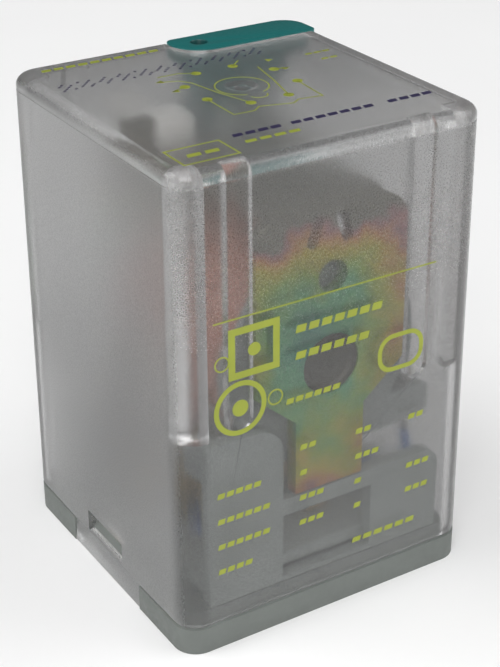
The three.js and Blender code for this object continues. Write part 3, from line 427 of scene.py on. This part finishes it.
def frost_roughness(look, x, z):
    """Fine frost on the top and the lower front, coarser towards the upper rim, dull on both sides."""
    fine, coarse, dull, speck = 0.2, 0.3, 0.36, 0.07
    sides = look.between(look.maths("ABSOLUTE", x), HALF - 0.55 * MM, HALF - 0.25 * MM, fine, dull)
    upper = look.between(z, 34 * MM, 47 * MM, fine, coarse)
    top = look.between(z, *LID_BLEND, coarse, fine)
    frost = look.maths("MAXIMUM", sides, look.maths("MINIMUM", upper, top))
    specks = look.between(look.noise(FROST_GRAIN, detail=2.0), *look.NOISE_SPAN, -speck, speck)
    look.join(look.maths("ADD", frost, specks), look.shader.inputs["Roughness"])


def pass_lamps(look, tint):
    """Lets lamp light through the surface, dimmed by the tint."""
    clear = look.add("ShaderNodeBsdfTransparent")
    clear.inputs["Color"].default_value = (tint, tint, tint, 1)
    choice = look.add("ShaderNodeMixShader")
    look.join(look.add("ShaderNodeLightPath").outputs["Is Shadow Ray"], choice.inputs["Fac"])
    look.join(look.shader.outputs["BSDF"], choice.inputs[1])
    look.join(clear.outputs["BSDF"], choice.inputs[2])
    look.join(choice.outputs["Shader"], look.tree.nodes["Material Output"].inputs["Surface"])


def frosted_material():
    """Frosted clear plastic that lets lamps through to what stands inside."""
    look = Look(
        "frosted_cover",
        (0.62, 0.62, 0.62),
        0.28,
        Transmission_Weight=0.98,
        IOR=1.5,
        Specular_IOR_Level=0.3,
        Sheen_Weight=0.12,
        Sheen_Roughness=0.35,
    )
    look.grain(0.15 * MM, 0.004 * MM, 1.0)
    x, y, z = look.axes()
    frost_tint_and_painted_light(look, x, y, z)
    frost_roughness(look, x, z)
    pass_lamps(look, 0.84)
    return look.material


def teal_material():
    """Teal plastic with painted deep shade inside the screwdriver dimple."""
    look = Look("teal_plastic", (0.001, 0.118, 0.115), 0.4)
    look.rough(0.6 * MM, 0.33, 0.47)
    look.grain(0.12 * MM, 0.01 * MM)
    seen_from_above = look.add("ShaderNodeVectorMath", operation="MULTIPLY")
    seen_from_above.inputs[1].default_value = (1, 1, 0)
    look.join(look.place, seen_from_above.inputs[0])
    away = look.add("ShaderNodeVectorMath", operation="DISTANCE")
    away.inputs[1].default_value = DIMPLE
    look.join(seen_from_above.outputs["Vector"], away.inputs[0])
    # painted shade: the dimple's floor and wall are coloured nearly black
    deep = tuple(c * 0.12 for c in look.color[:3])
    shade = look.between(away.outputs["Value"], DIMPLE_RADIUS - 0.1 * MM, DIMPLE_RADIUS + 0.15 * MM, 0, 1)
    look.join(look.ramp(shade, [(0.0, deep), (1.0, look.color[:3])]), look.shader.inputs["Base Color"])
    return look.material


def distance_in(look, x, z):
    """0 in the middle of the yoke plate and 1 round a rounded square near its rim."""
    half_width, middle_x = 13.5 * MM, -2.2 * MM
    middle_z, reach_up, reach_down = 34 * MM, 9.8 * MM, 24 * MM
    across = look.maths("DIVIDE", look.maths("SUBTRACT", x, middle_x), half_width)
    rise = look.maths("SUBTRACT", z, middle_z)
    above = look.maths("DIVIDE", rise, reach_up)
    below = look.maths("DIVIDE", rise, -reach_down)
    along = look.maths("MAXIMUM", above, below)
    power = 4
    total = look.maths(
        "ADD",
        look.maths("POWER", look.maths("ABSOLUTE", across), power),
        look.maths("POWER", along, power),
    )
    return look.maths("POWER", total, 1 / power)


def chromate_material():
    """Zinc plating with a rainbow chromate film, whose colour follows how far in from the rim it is; the
    dark grey over the top of the plate is painted shade.
    """
    look = Look("chromate_steel", (0.4, 0.5, 0.3), 0.38, 0.75)
    x, _, z = look.axes()
    wander = look.between(look.noise(4.2 * MM, detail=2.0), 0.25, 0.75, -0.2, 0.15)
    film = look.maths("ADD", distance_in(look, x, z), wander)
    colors = look.ramp(
        film,
        [
            (0.0, (0.08, 0.29, 0.20)),
            (0.3, (0.13, 0.36, 0.17)),
            (0.48, (0.26, 0.37, 0.07)),
            (0.68, (0.45, 0.37, 0.05)),
            (0.82, (0.50, 0.25, 0.10)),
            (0.94, (0.34, 0.17, 0.18)),
            # painted shade: dark grey where the top of the plate bends away
            (1.0, (0.19, 0.18, 0.15)),
        ],
    )
    look.join(colors, look.shader.inputs["Base Color"])
    look.rough(0.5 * MM, 0.3, 0.45)
    return look.material


MATERIALS = {
    "frosted_cover": frosted_material(),
    "base_grey": moulded("base_grey", (0.135, 0.148, 0.138), 0.55),
    "block_grey": moulded("block_grey", (0.215, 0.235, 0.225), 0.55),
    "teal_plastic": teal_material(),
    "chromate_steel": chromate_material(),
    "iron": metal("iron", (0.1, 0.092, 0.078), 0.55),
    "brass": metal("brass", (0.70, 0.52, 0.24), 0.35),
    "tinned": metal("tinned", (0.70, 0.70, 0.67), 0.32),
    "silver_alloy": metal("silver_alloy", (0.82, 0.81, 0.78), 0.3),
    "copper": metal("copper", (0.55, 0.20, 0.10), 0.35, (1, 12, 1)),
    "coil_tape": moulded("coil_tape", (0.33, 0.15, 0.11), 0.4),
    "nylon": moulded("nylon", (0.2, 0.215, 0.21), 0.5),
    "card_white": moulded("card_white", (0.8, 0.79, 0.76), 0.55),
    "spring_steel": metal("spring_steel", (0.55, 0.56, 0.57), 0.3),
    "lead_sleeve": moulded("lead_sleeve", (0.03, 0.10, 0.32), 0.5),
}
YELLOW_INK = moulded("yellow_ink", (0.27, 0.31, 0.03), 0.5)
BLACK_INK = moulded("black_ink", (0.02, 0.015, 0.06), 0.5)

SLOT_OF = {part["node"]: part["material_slot"] for part in frame["record"]["subparts"]}
BODY_OF = {
    node: body for body, nodes in frame["record"]["behaviour"]["bodies"].items() for node in nodes
}


def stand_for(piece, node, move=True):
    """Dresses the piece as this CAD node, which it replaces, and lets it ride with the node's body."""
    piece.data.materials.clear()
    piece.data.materials.append(MATERIALS[SLOT_OF[node]])
    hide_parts(node)
    if move:
        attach(piece, BODY_OF[node])
    return piece


def refined(node, width, segments=2, cuts=()):
    """The CAD node's shape with its edges rounded."""
    mesh = bpy.data.meshes.new_from_object(frame["nodes"][node])
    mesh.name = node + "_refined"
    piece = link(node + "_refined", mesh)
    cut_away(piece, cuts)
    soften(piece, width, segments)
    return stand_for(piece, node)


# ---------------------------------------------------------------- cover


def block_levels(half, radius, low, high, rounding, groove=None):
    """Outlines of a square block that leans in towards the top and is rounded along its top edge.
    A groove is the height of its lower edge and its depth."""
    heights = [(low, 0.0), (LEDGE_Z, 0.0), (TOP / 2, 0.0)]
    if groove:
        z, depth = groove
        flank, bottom = 0.05 * MM, 0.08 * MM
        heights += [(z - flank, 0.0), (z, depth), (z + bottom, depth), (z + bottom + flank, depth / 3)]
    steps = 8
    for k in range(steps + 1):
        angle = k / steps * math.pi / 2
        heights.append((high - rounding + rounding * math.sin(angle), rounding * (1 - math.cos(angle))))
    levels = []
    for z, inset in heights:
        side = half - DRAFT * z / TOP - inset
        corner = max(radius - inset * 0.6, 0.3 * MM)
        outline = rounded_outline(-side, -side, side, side, [corner] * 4, 12)
        levels.append([(x, y, z) for x, y in outline])
    return levels


def corner_columns(inner):
    """The cover's four solid corner columns, as tools that reach out past its walls."""
    column = inner - COLUMN_SIDE
    columns = []
    for x in (-1, 1):
        for y in (-1, 1):
            xs = sorted((x * column, x * OUTSIDE))
            ys = sorted((y * column, y * OUTSIDE))
            columns.append(box_tool((xs[0], ys[0], COLUMN_FOOT_Z), (xs[1], ys[1], CEILING)))
    return columns


def guide_ribs(inner):
    """Round-footed guide ribs: two on the front wall and one on the back wall."""
    foot_radius = (RIB_FAR_X - RIB_NEAR_X) / 2.01
    ribs = []
    for side, front in ((-1, True), (1, True), (-1, False)):
        x0, x1 = sorted((side * RIB_NEAR_X, side * RIB_FAR_X))
        outline = rounded_outline(x0, COLUMN_FOOT_Z, x1, CEILING, (foot_radius, foot_radius, 0, 0))
        ys = (-OUTSIDE, RIB_DEPTH - inner) if front else (inner - RIB_DEPTH, OUTSIDE)
        ribs.append(stacked("rib", [[(x, y, z) for x, z in outline] for y in ys]))
    return ribs


def spring_shelf():
    """Shelf in the back right corner with a peg that centres the button's spring."""
    spring = (SPRING_LOW + SPRING_HIGH) / 2
    low = (SPRING_LOW.x - 0.36 * MM, SPRING_LOW.y + 0.04 * MM, SHELF_Z - 1.2 * MM)
    root, radius, top, chamfer = -0.5 * MM, 0.9 * MM, 1.4 * MM, 0.2 * MM
    peg = lathe(
        "peg",
        [(0, root), (radius, root), (radius, top - chamfer), (radius - chamfer, top), (0, top)],
        24,
    )
    place(peg, Matrix.Translation((spring.x, spring.y, SHELF_Z)))
    return [box_tool(low, (OUTSIDE, OUTSIDE, SHELF_Z)), peg]


def cover_hollow():
    """The space inside the cover, less its corner columns, guide ribs and spring shelf."""
    inner = HALF - WALL
    levels = block_levels(inner, CORNER_RADIUS - WALL / 2, -5 * MM, TOP - WALL, 0.6 * MM)
    return cut_away(stacked("hollow", levels), corner_columns(inner) + guide_ribs(inner) + spring_shelf())


def gate_mark():
    """Tool for the round dish round the gate vestige in the middle of the cover top."""
    dish = 1.7 * MM
    nub = 0.55 * MM
    depth = 0.22 * MM
    top = TOP - SUNK
    brim, above = top - 0.02 * MM, top + 0.5 * MM
    profile = [
        (nub * 0.6, brim),
        (nub, top - depth * 0.7),
        (nub * 1.5, top - depth),
        (dish * 0.75, top - depth),
        (dish, brim),
        (dish * 1.02, above),
        (nub * 0.6, above),
    ]
    return place(lathe("gate", profile), Matrix.Translation((0.3 * MM, 0.3 * MM, 0)))


def rim_depth(x, y):
    """How far inside the rounded corners' outer wall a point is, seen from above."""
    straight = HALF - CORNER_RADIUS
    return CORNER_RADIUS - math.hypot(max(abs(x) - straight, 0), max(abs(y) - straight, 0))


def round_lower_rim(shell):
    """Rounds the outer lower edge where the cover meets the base flange."""
    shaped = bmesh.new()
    shaped.from_mesh(shell.data)
    bmesh.ops.remove_doubles(shaped, verts=shaped.verts, dist=0.002 * MM)
    rim = [
        edge
        for edge in shaped.edges
        if all(
            abs(v.co.z - LEDGE_Z) < 0.01 * MM and abs(rim_depth(v.co.x, v.co.y)) < 0.1 * MM
            for v in edge.verts
        )
    ]
    bmesh.ops.bevel(shaped, geom=rim, offset=0.4 * MM, segments=3, profile=0.5, affect="EDGES")
    shaped.to_mesh(shell.data)
    shaped.free()


def cover():
    """Frosted cover: thin walls with a fine groove under the top, two latch tabs and the button's notch."""
    groove = (LID_Z, 0.05 * MM)
    shell = stacked(
        "cover_shell",
        block_levels(HALF, CORNER_RADIUS, COVER_LOW.z, TOP - SUNK, 1.1 * MM, groove),
    )
    reach = HALF + 5 * MM
    tab = 7.5 * MM  # half the width of each latch tab
    latch_half, latch_low, latch_high = 3.9 * MM, 3.5 * MM, 6.1 * MM
    gap = 0.3 * MM  # free space round the button's head
    notch_z = TOP - 5 * MM
    notch = rounded_outline(
        BUTTON_LOW.x - gap, HEAD_FRONT_Y - gap, reach, reach, (3.9 * MM, 0, 0, 0), 16
    )
    cuts = [
        cover_hollow(),
        box_tool((-reach, -reach, -reach), (reach, -tab, LEDGE_Z)),
        box_tool((-reach, tab, -reach), (reach, reach, LEDGE_Z)),
        box_tool((-reach, -latch_half, latch_low), (reach, latch_half, latch_high)),
        stacked("notch", [[(x, y, z) for x, y in notch] for z in (notch_z, 2 * TOP)]),
        gate_mark(),
    ]
    cut_away(shell, cuts)
    round_lower_rim(shell)
    soften(shell, 0.1 * MM, 2, 40)
    return stand_for(shell, "cover")


# ---------------------------------------------------------------- printed marks


def flat(place_at, polygons, name, ink):
    """Thin closed plates of ink from 2-D polygons, which place_at puts on the cover."""
    shaped = bmesh.new()
    for polygon in polygons:
        corners = [shaped.verts.new(place_at(u, v, INK_GAP)) for u, v in polygon["points"]]
        faces = [shaped.faces.new([corners[i] for i in face]) for face in polygon["faces"]]
        raised = bmesh.ops.extrude_face_region(shaped, geom=faces)
        outward = Vector(place_at(0, 0, INK)) - Vector(place_at(0, 0, 0))
        moved = [item for item in raised["geom"] if isinstance(item, bmesh.types.BMVert)]
        bmesh.ops.translate(shaped, verts=moved, vec=outward)
    bmesh.ops.recalc_face_normals(shaped, faces=shaped.faces)
    mesh = bpy.data.meshes.new(name)
    shaped.to_mesh(mesh)
    shaped.free()
    piece = link(name, mesh)
    mesh.materials.append(ink)
    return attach(piece, BODY_OF["cover"])


def on_front(u, v, lift):
    """A point of the front face from millimetres across and up, raised by lift."""
    return (u * MM, -(HALF - DRAFT * v * MM / TOP) - lift, v * MM)


def on_top(u, v, lift):
    """A point of the top face from millimetres right and back, raised by lift."""
    return (u * MM, v * MM, TOP - SUNK + lift)


def solid_shape(points):
    """A filled polygon."""
    return {"points": points, "faces": [tuple(range(len(points)))]}


def stroke(points, width, closed=False):
    """A line of even width with mitred corners, as one quad for each stretch."""
    path = [Vector(p) for p in points]
    count = len(path)
    sides = []
    for k, point in enumerate(path):
        before = path[k - 1] if k or closed else None
        after = path[(k + 1) % count] if k < count - 1 or closed else None
        came = (point - before).normalized() if before is not None else None
        goes = (after - point).normalized() if after is not None else None
        way = ((came or goes) + (goes or came)).normalized()
        across = Vector((-way.y, way.x))
        turn = across.dot(Vector((-(goes or came).y, (goes or came).x)))
        offset = across * width / 2 / max(turn, 0.4)
        sides.append((point + offset, point - offset))
    flat_points = [tuple(p) for pair in sides for p in pair]
    pairs = range(count if closed else count - 1)
    faces = [(2 * k, 2 * ((k + 1) % count), 2 * ((k + 1) % count) + 1, 2 * k + 1) for k in pairs]
    return {"points": flat_points, "faces": faces}


def arc(middle, radius, start=0, end=360, steps=28):
    """Points round a circle, in degrees. A full turn leaves out its last point."""
    full = abs(end - start) >= 360
    count = steps if full else steps + 1
    angles = [math.radians(start + (end - start) * k / steps) for k in range(count)]
    return [(middle[0] + radius * math.cos(a), middle[1] + radius * math.sin(a)) for a in angles]


def ring(middle, radius, width):
    """A circle drawn with a line of this width."""
    return stroke(arc(middle, radius), width, closed=True)


def disc(middle, radius):
    """A filled circle."""
    return solid_shape(arc(middle, radius, steps=20))


def frame_shape(x0, y0, x1, y1, width, radius=0):
    """A rectangle drawn with a line of this width, with round corners if it has a radius."""
    return stroke(rounded_outline(x0, y0, x1, y1, [radius] * 4, 6), width, closed=True)


def dashes(left, level, count, pitch, thickness=0.6):
    """A row of plain leaning dashes, one for each character that a line of print would have."""
    lean = thickness / 4
    gap = 0.12  # share of the pitch left free on each side of a dash
    low, high = level - thickness / 2, level + thickness / 2
    made = []
    for k in range(count):
        start, end = left + pitch * (k + gap), left + pitch * (k + 1 - gap)
        made.append(solid_shape([(start, low), (end, low), (end + lean, high), (start + lean, high)]))
    return made


def rating_table():
    """Rows and columns of dashes, with a title row, that sag a little to the right."""
    columns = (-14, -4.3, 2.5, 9.2)
    rows = [  # characters in each cell
        (0, 2, 2, 2),
        (5, 1, 3, 0),
        (6, 3, 1, 3),
        (6, 3, 1, 3),
        (4, 0, 0, 0),
    ]
    first_level, row_pitch, sag = 21.4, 3.0, 0.05
    shapes = []
    for row, counts in enumerate(rows):
        for left, count in zip(columns, counts):
            level = first_level - row * row_pitch - sag * (left - columns[0])
            shapes += dashes(left, level, count, 1.05)
    return shapes


def front_print():
    """Rating panel on the front: a rule, plain marks, title rows, the table and a last row."""
    fine = 0.16
    square_middle, round_middle = (-9.5, 33.7), (-11.1, 27.7)
    shapes = [stroke([(-14, 37.4), (12, 37.4)], fine)]
    shapes += [frame_shape(-12, 31.3, -7, 36, 0.75), disc(square_middle, 0.7)]
    shapes += [ring(round_middle, 2.7, 0.55), disc(round_middle, 0.9)]
    shapes += [ring((-13.1, 33), 0.75, fine), ring((-7.1, 27.7), 0.8, fine)]
    shapes += [frame_shape(5.4, 26.6, 10.6, 30.4, 0.5, radius=1.6)]
    shapes += dashes(-5, 34.4, 7, 1.5, 0.8)
    shapes += dashes(-5, 31.5, 6, 1.5, 0.8)
    shapes += dashes(-6, 26.7, 6, 1.1)
    shapes += rating_table()
    shapes += dashes(2.4, 7.2, 6, 1.4)
    return flat(on_front, shapes, "front_print", YELLOW_INK)


def pin_diagram():
    """Wiring diagram on the cover top: eight pins round the keyed post, the coil and both contacts."""
    fine, dot = 0.15, 0.55
    middle, radius = (0.6, 0.75), 5.75
    post, post_radius = (0.3, 0.2), 2.75
    key, key_radius = (0.3, -2.9), 0.95
    pins = {}
    for number in range(1, 9):
        angle = math.radians(45 * number - 112.5)
        pins[number] = (middle[0] + radius * math.cos(angle), middle[1] + radius * math.sin(angle))
    shapes = [disc(at, dot) for at in pins.values()]
    shapes.append(stroke(arc(post, post_radius, -70, 250, 36), fine))
    shapes.append(stroke(arc(key, key_radius, -170, -10, 12), fine))
    coil = [(-4.8, -6.6), (-2.5, -6.7), (-1.5, -5.9), (1.9, -6.9), (2.9, -6.2), (5.5, -6.6)]
    wires = [
        [pins[7], *coil, pins[2]],
        [pins[8], (-2.8, -0.2), (-3.5, 3.7), (-4.3, 4.9), (-6.4, 5.7)],
        [pins[1], (4.0, 0), (4.9, 4.5)],
        [pins[5], (-3.2, 7.0), (-5.6, 7.0)],
        [pins[6], (-6.4, 2.3)],
        [pins[3], (7.4, 2.6)],
        [pins[4], (4.3, 7.4)],
    ]
    shapes += [stroke(wire, fine) for wire in wires]
    length, half = 0.8, 0.4  # of each arrowhead
    for u, v, side in ((-6.6, 5.6, 1), (-6.6, 2.3, 1), (7.6, 2.6, -1), (7.6, 5.8, -1)):
        back = u + side * length
        shapes.append(solid_shape([(u, v), (back, v - half), (back, v + half)]))
    return shapes


def top_print():
    """The wiring diagram, a framed mark and rows of dashes."""
    shapes = pin_diagram()
    shapes.append(frame_shape(-15.4, -15.5, -9.6, -11.7, 0.2))
    shapes += dashes(-14.4, -13.7, 2, 1.9, 0.7)
    shapes += dashes(-8, -13.4, 4, 1.6)
    shapes += dashes(11.2, 5.3, 3, 1.1, 0.4)
    shapes += dashes(11.8, 3.1, 2, 1.1, 0.4)
    shapes += dashes(-15, 15.1, 10, 1.4)
    return flat(on_top, shapes, "top_print", YELLOW_INK)


def top_stamp():
    """Dark stamped row on the cover top, as three groups of plain dashes."""
    shapes = []
    for left, count in ((-8.2, 4), (-1.7, 7), (9.6, 4)):
        shapes += dashes(left, -11.5, count, 1.4, 0.7)
    return flat(on_top, shapes, "top_stamp", BLACK_INK)


def dotted_stamp():
    """Faint row of dotted blocks near the back edge, one for each character of a stamped row."""
    dots = []
    blocks, columns, rows = 11, 4, 5
    left, level, block_pitch, step, dot = -15.4, 8.3, 2.2, 0.42, 0.16
    for block in range(blocks):
        for column in range(columns):
            for row in range(rows):
                if (column + 2 * row + block) % 3:
                    continue
                u = left + block * block_pitch + column * step
                dots.append(disc((u, level + row * step), dot))
    return flat(on_top, dots, "dotted_stamp", BLACK_INK)


# ---------------------------------------------------------------- pins and magnet


def middle_of(node):
    """The middle of the CAD node's box."""
    low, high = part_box(node)
    return (low + high) / 2


def octal_pin(number):
    """Round-nosed hollow pin with solder sunk in its tip and a flange inside the base."""
    node = f"pin_{number}"
    low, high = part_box(node)
    centre = middle_of(node)
    pin_radius = 2.36 / 2 * MM
    flange, flange_z = 0.35 * MM, 4.6 * MM
    tip, rounding = low.z, 0.6 * MM
    bends = (1.2, 0.9, 0.6, 0.3, 0)
    solder = [
        (0, tip + 0.45 * MM),
        (0.3 * MM, tip + 0.35 * MM),
        (0.48 * MM, tip + 0.15 * MM),
        (0.52 * MM, tip + 0.06 * MM),
    ]
    nose = [(pin_radius * math.cos(a), tip + rounding * (1 - math.sin(a))) for a in bends]
    profile = [
        *solder,
        *nose,
        (pin_radius, flange_z),
        (pin_radius + flange - 0.05 * MM, flange_z + 0.12 * MM),
        (pin_radius + flange, flange_z + 0.2 * MM),
        (pin_radius + flange, high.z),
        (0, high.z),
    ]
    pin = lathe(node + "_turned", profile, 40)
    place(pin, Matrix.Translation((centre.x, centre.y, 0)))
    smooth(pin, 40)
    return stand_for(pin, node)


def turned_along_y(node, profile, segments=64):
    """A solid of revolution about the node's own middle line along Y, from (radius, y) points."""
    centre = middle_of(node)
    piece = lathe(node + "_turned", profile, segments)
    place(piece, Matrix.Translation((centre.x, 0, centre.z)) @ ALONG_Y)
    smooth(piece, 32)
    return stand_for(piece, node)


def winding():
    """The coil's outer layer of wire, turn beside turn."""
    low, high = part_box("winding")
    outer = (high.x - low.x) / 2
    inner = 5.3 * MM
    wire = 0.22 * MM
    turns = int((high.y - low.y) / wire)
    pitch = (high.y - low.y) / turns
    valley = wire * 0.4  # how deep the groove between two turns is
    profile = [(inner, low.y)]
    for k in range(turns):
        for share, dip in ((0.0, 1.0), (0.25, 0.25), (0.5, 0.0), (0.75, 0.25)):
            profile.append((outer - dip * valley, low.y + (k + share) * pitch))
    profile += [(outer - valley, high.y), (inner, high.y)]
    return turned_along_y("winding", profile, 56)


def spring_wire():
    """The button's compression spring, with closed end turns."""
    low, high = SPRING_LOW, SPRING_HIGH
    centre = (low + high) / 2
    thickness = 0.2 * MM
    radius = (high.x - low.x) / 2 - thickness
    turns, closing = 6.5, 0.11
    steps = 220
    points = []
    for k in range(steps + 1):
        t = k / steps
        angle = 2 * math.pi * turns * t
        share = t - closing * math.sin(2 * math.pi * t)
        height = low.z + thickness + (high.z - low.z - 2 * thickness) * share
        x = centre.x + radius * math.cos(angle)
        points.append(Vector((x, centre.y + radius * math.sin(angle), height)))
    coil = tube("button_spring_wire", points, thickness, 12)
    stand_for(coil, "button_spring")
    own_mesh(coil)
    return coil


def hanging_leaf():
    """The flat spring that hangs the armature, bent over the end of the yoke arm."""
    low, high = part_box("armature_spring")
    thickness = 0.3 * MM
    bend, lead_in = 1.3 * MM, 2 * MM
    flat_steps, bend_steps, hanging_steps = 6, 10, 12
    path = [(low.y, high.z)]
    for k in range(flat_steps + 1):
        path.append((high.y - bend - (1 - k / flat_steps) * lead_in, high.z))
    for k in range(1, bend_steps + 1):
        angle = math.pi / 2 * (1 - k / bend_steps)
        path.append((high.y - bend + bend * math.cos(angle), high.z - bend + bend * math.sin(angle)))
    straight = high.z - bend - low.z
    for k in range(1, hanging_steps + 1):
        path.append((high.y, high.z - bend - straight * k / hanging_steps))
    inner = []
    for k, (y, z) in enumerate(path):
        before, after = path[max(k - 1, 0)], path[min(k + 1, len(path) - 1)]
        way = Vector((after[0] - before[0], after[1] - before[1])).normalized()
        inner.append((y + way.y * thickness, z - way.x * thickness))
    ring_points = path + inner[::-1]
    leaf = stacked("armature_spring_leaf", [[(x, y, z) for y, z in ring_points] for x in (low.x, high.x)])
    smooth(leaf, 50)
    stand_for(leaf, "armature_spring", move=False)
    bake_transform(leaf)
    return leaf


def coil_lead(name, side):
    """Sleeved wire from the foot of a coil terminal to its pin."""
    node = "coil_lead_" + name
    pin = middle_of("pin_7" if side < 0 else "pin_2")
    post = middle_of("coil_terminal_" + name)
    low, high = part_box(node)
    points = [
        Vector((post.x, post.y, high.z)),
        Vector((post.x, post.y, 12.6 * MM)),
        Vector((side * 11.4 * MM, -9 * MM, 9.6 * MM)),
        Vector((pin.x, pin.y, 8.4 * MM)),
        Vector((pin.x, pin.y, low.z)),
    ]
    lead = tube(node + "_sleeve", spread(points, 0.5 * MM), 0.5 * MM, 16)
    return stand_for(lead, node)


def screwdriver_dimple():
    """Tool for the dimple near the left end of the test button's head."""
    rim, deep = DIMPLE_RADIUS, 2.4 * MM
    profile = [
        (0, -deep),
        (rim * 0.9, -deep),
        (rim, -0.15 * MM),
        (rim * 1.1, 0.1 * MM),
        (rim * 1.1, 1 * MM),
        (0, 1 * MM),
    ]
    return place(lathe("dimple", profile, 32), Matrix.Translation((DIMPLE[0], DIMPLE[1], TOP)))


# ---------------------------------------------------------------- build

cover()
front_print()
top_print()
top_stamp()
dotted_stamp()
winding()
spring_wire()
hanging_leaf()
for number in range(1, 9):
    octal_pin(number)
for name, side in (("left", -1), ("right", 1)):
    coil_lead(name, side)

refined("test_button", 0.15 * MM, 3, [screwdriver_dimple()])

EDGE = 0.08 * MM
REPLACED = {  # nodes that have a detailed piece of their own above
    "cover",
    "winding",
    "button_spring",
    "armature_spring",
    "test_button",
    "coil_lead_left",
    "coil_lead_right",
    *(f"pin_{number}" for number in range(1, 9)),
}
for node in sorted(set(frame["nodes"]) - REPLACED):
    refined(node, EDGE)


# ---------------------------------------------------------------- floor, light and camera


def floor():
    """A pale panel with a round hole, which the pins and the key post go into."""
    rings = (11 * MM, 60 * MM, 1500 * MM)
    level = -0.02 * MM
    count = 64
    points, faces = [], []
    for radius in rings:
        for k in range(count):
            angle = 2 * math.pi * k / count
            points.append((radius * math.cos(angle), radius * math.sin(angle), level))
    for row in range(len(rings) - 1):
        for k in range(count):
            after = (k + 1) % count
            low, high = row * count, (row + 1) * count
            faces.append((low + k, high + k, high + after, low + after))
    panel = mesh_object("floor", points, faces)
    look = Look("floor", (0.93, 0.93, 0.93), 0.9)
    look.mottle(80 * MM, 0.01)
    panel.data.materials.append(look.material)


def area_light(name, direction, power):
    """A square lamp that looks at the middle of the relay."""
    distance, size = 1.2, 0.84
    lamp = bpy.data.lights.new(name, "AREA")
    lamp.shape = "SQUARE"
    lamp.size = size
    lamp.energy = power
    made = bpy.data.objects.new(name, lamp)
    bpy.context.scene.collection.objects.link(made)
    target = Vector((0, 0, TOP / 2))
    made.location = target + Vector(direction).normalized() * distance
    made.rotation_euler = (target - made.location).to_track_quat("-Z", "Y").to_euler()


def studio():
    """Three large soft lamps and a plain grey world that darkens towards the back."""
    world = bpy.data.worlds.new("studio")
    world.use_nodes = True
    tree = world.node_tree
    sky = tree.nodes["Background"]
    sky.inputs["Color"].default_value = (1, 1, 1, 1)
    direction = tree.nodes.new("ShaderNodeTexCoord")
    parts = tree.nodes.new("ShaderNodeSeparateXYZ")
    shade = tree.nodes.new("ShaderNodeMapRange")
    tree.links.new(direction.outputs["Generated"], parts.inputs["Vector"])
    tree.links.new(parts.outputs["Y"], shade.inputs["Value"])
    for label, value in zip(("From Min", "From Max", "To Min", "To Max"), (-0.1, 0.6, 0.5, 0.12)):
        shade.inputs[label].default_value = value
    tree.links.new(shade.outputs["Result"], sky.inputs["Strength"])
    bpy.context.scene.world = world
    area_light("key", (-0.7, -1, 0.9), 8.6)
    area_light("fill", (1, -0.6, 0.7), 4.3)
    area_light("back", (-1, 0.5, 1), 6.4)
    bpy.context.scene.view_settings.view_transform = "Standard"


def camera():
    """Looks at the relay from its front left, a little above it."""
    azimuth, elevation, roll = math.radians(-31.92), math.radians(27.63), math.radians(0.25)
    distance, lens = 171.2 * MM, 85.17
    aim = Vector((0.73, -0.46, 24.86)) * MM
    back = Vector(
        (
            math.sin(azimuth) * math.cos(elevation),
            -math.cos(azimuth) * math.cos(elevation),
            math.sin(elevation),
        )
    )
    data = bpy.data.cameras.new("camera")
    data.lens = lens
    data.clip_start, data.clip_end = 5 * MM, 10
    made = bpy.data.objects.new("camera", data)
    bpy.context.scene.collection.objects.link(made)
    made.location = aim + back * distance
    upright = (-back).to_track_quat("-Z", "Y")
    made.rotation_euler = (upright @ Matrix.Rotation(-roll, 3, "Z").to_quaternion()).to_euler()
    bpy.context.scene.camera = made


floor()
studio()
camera()
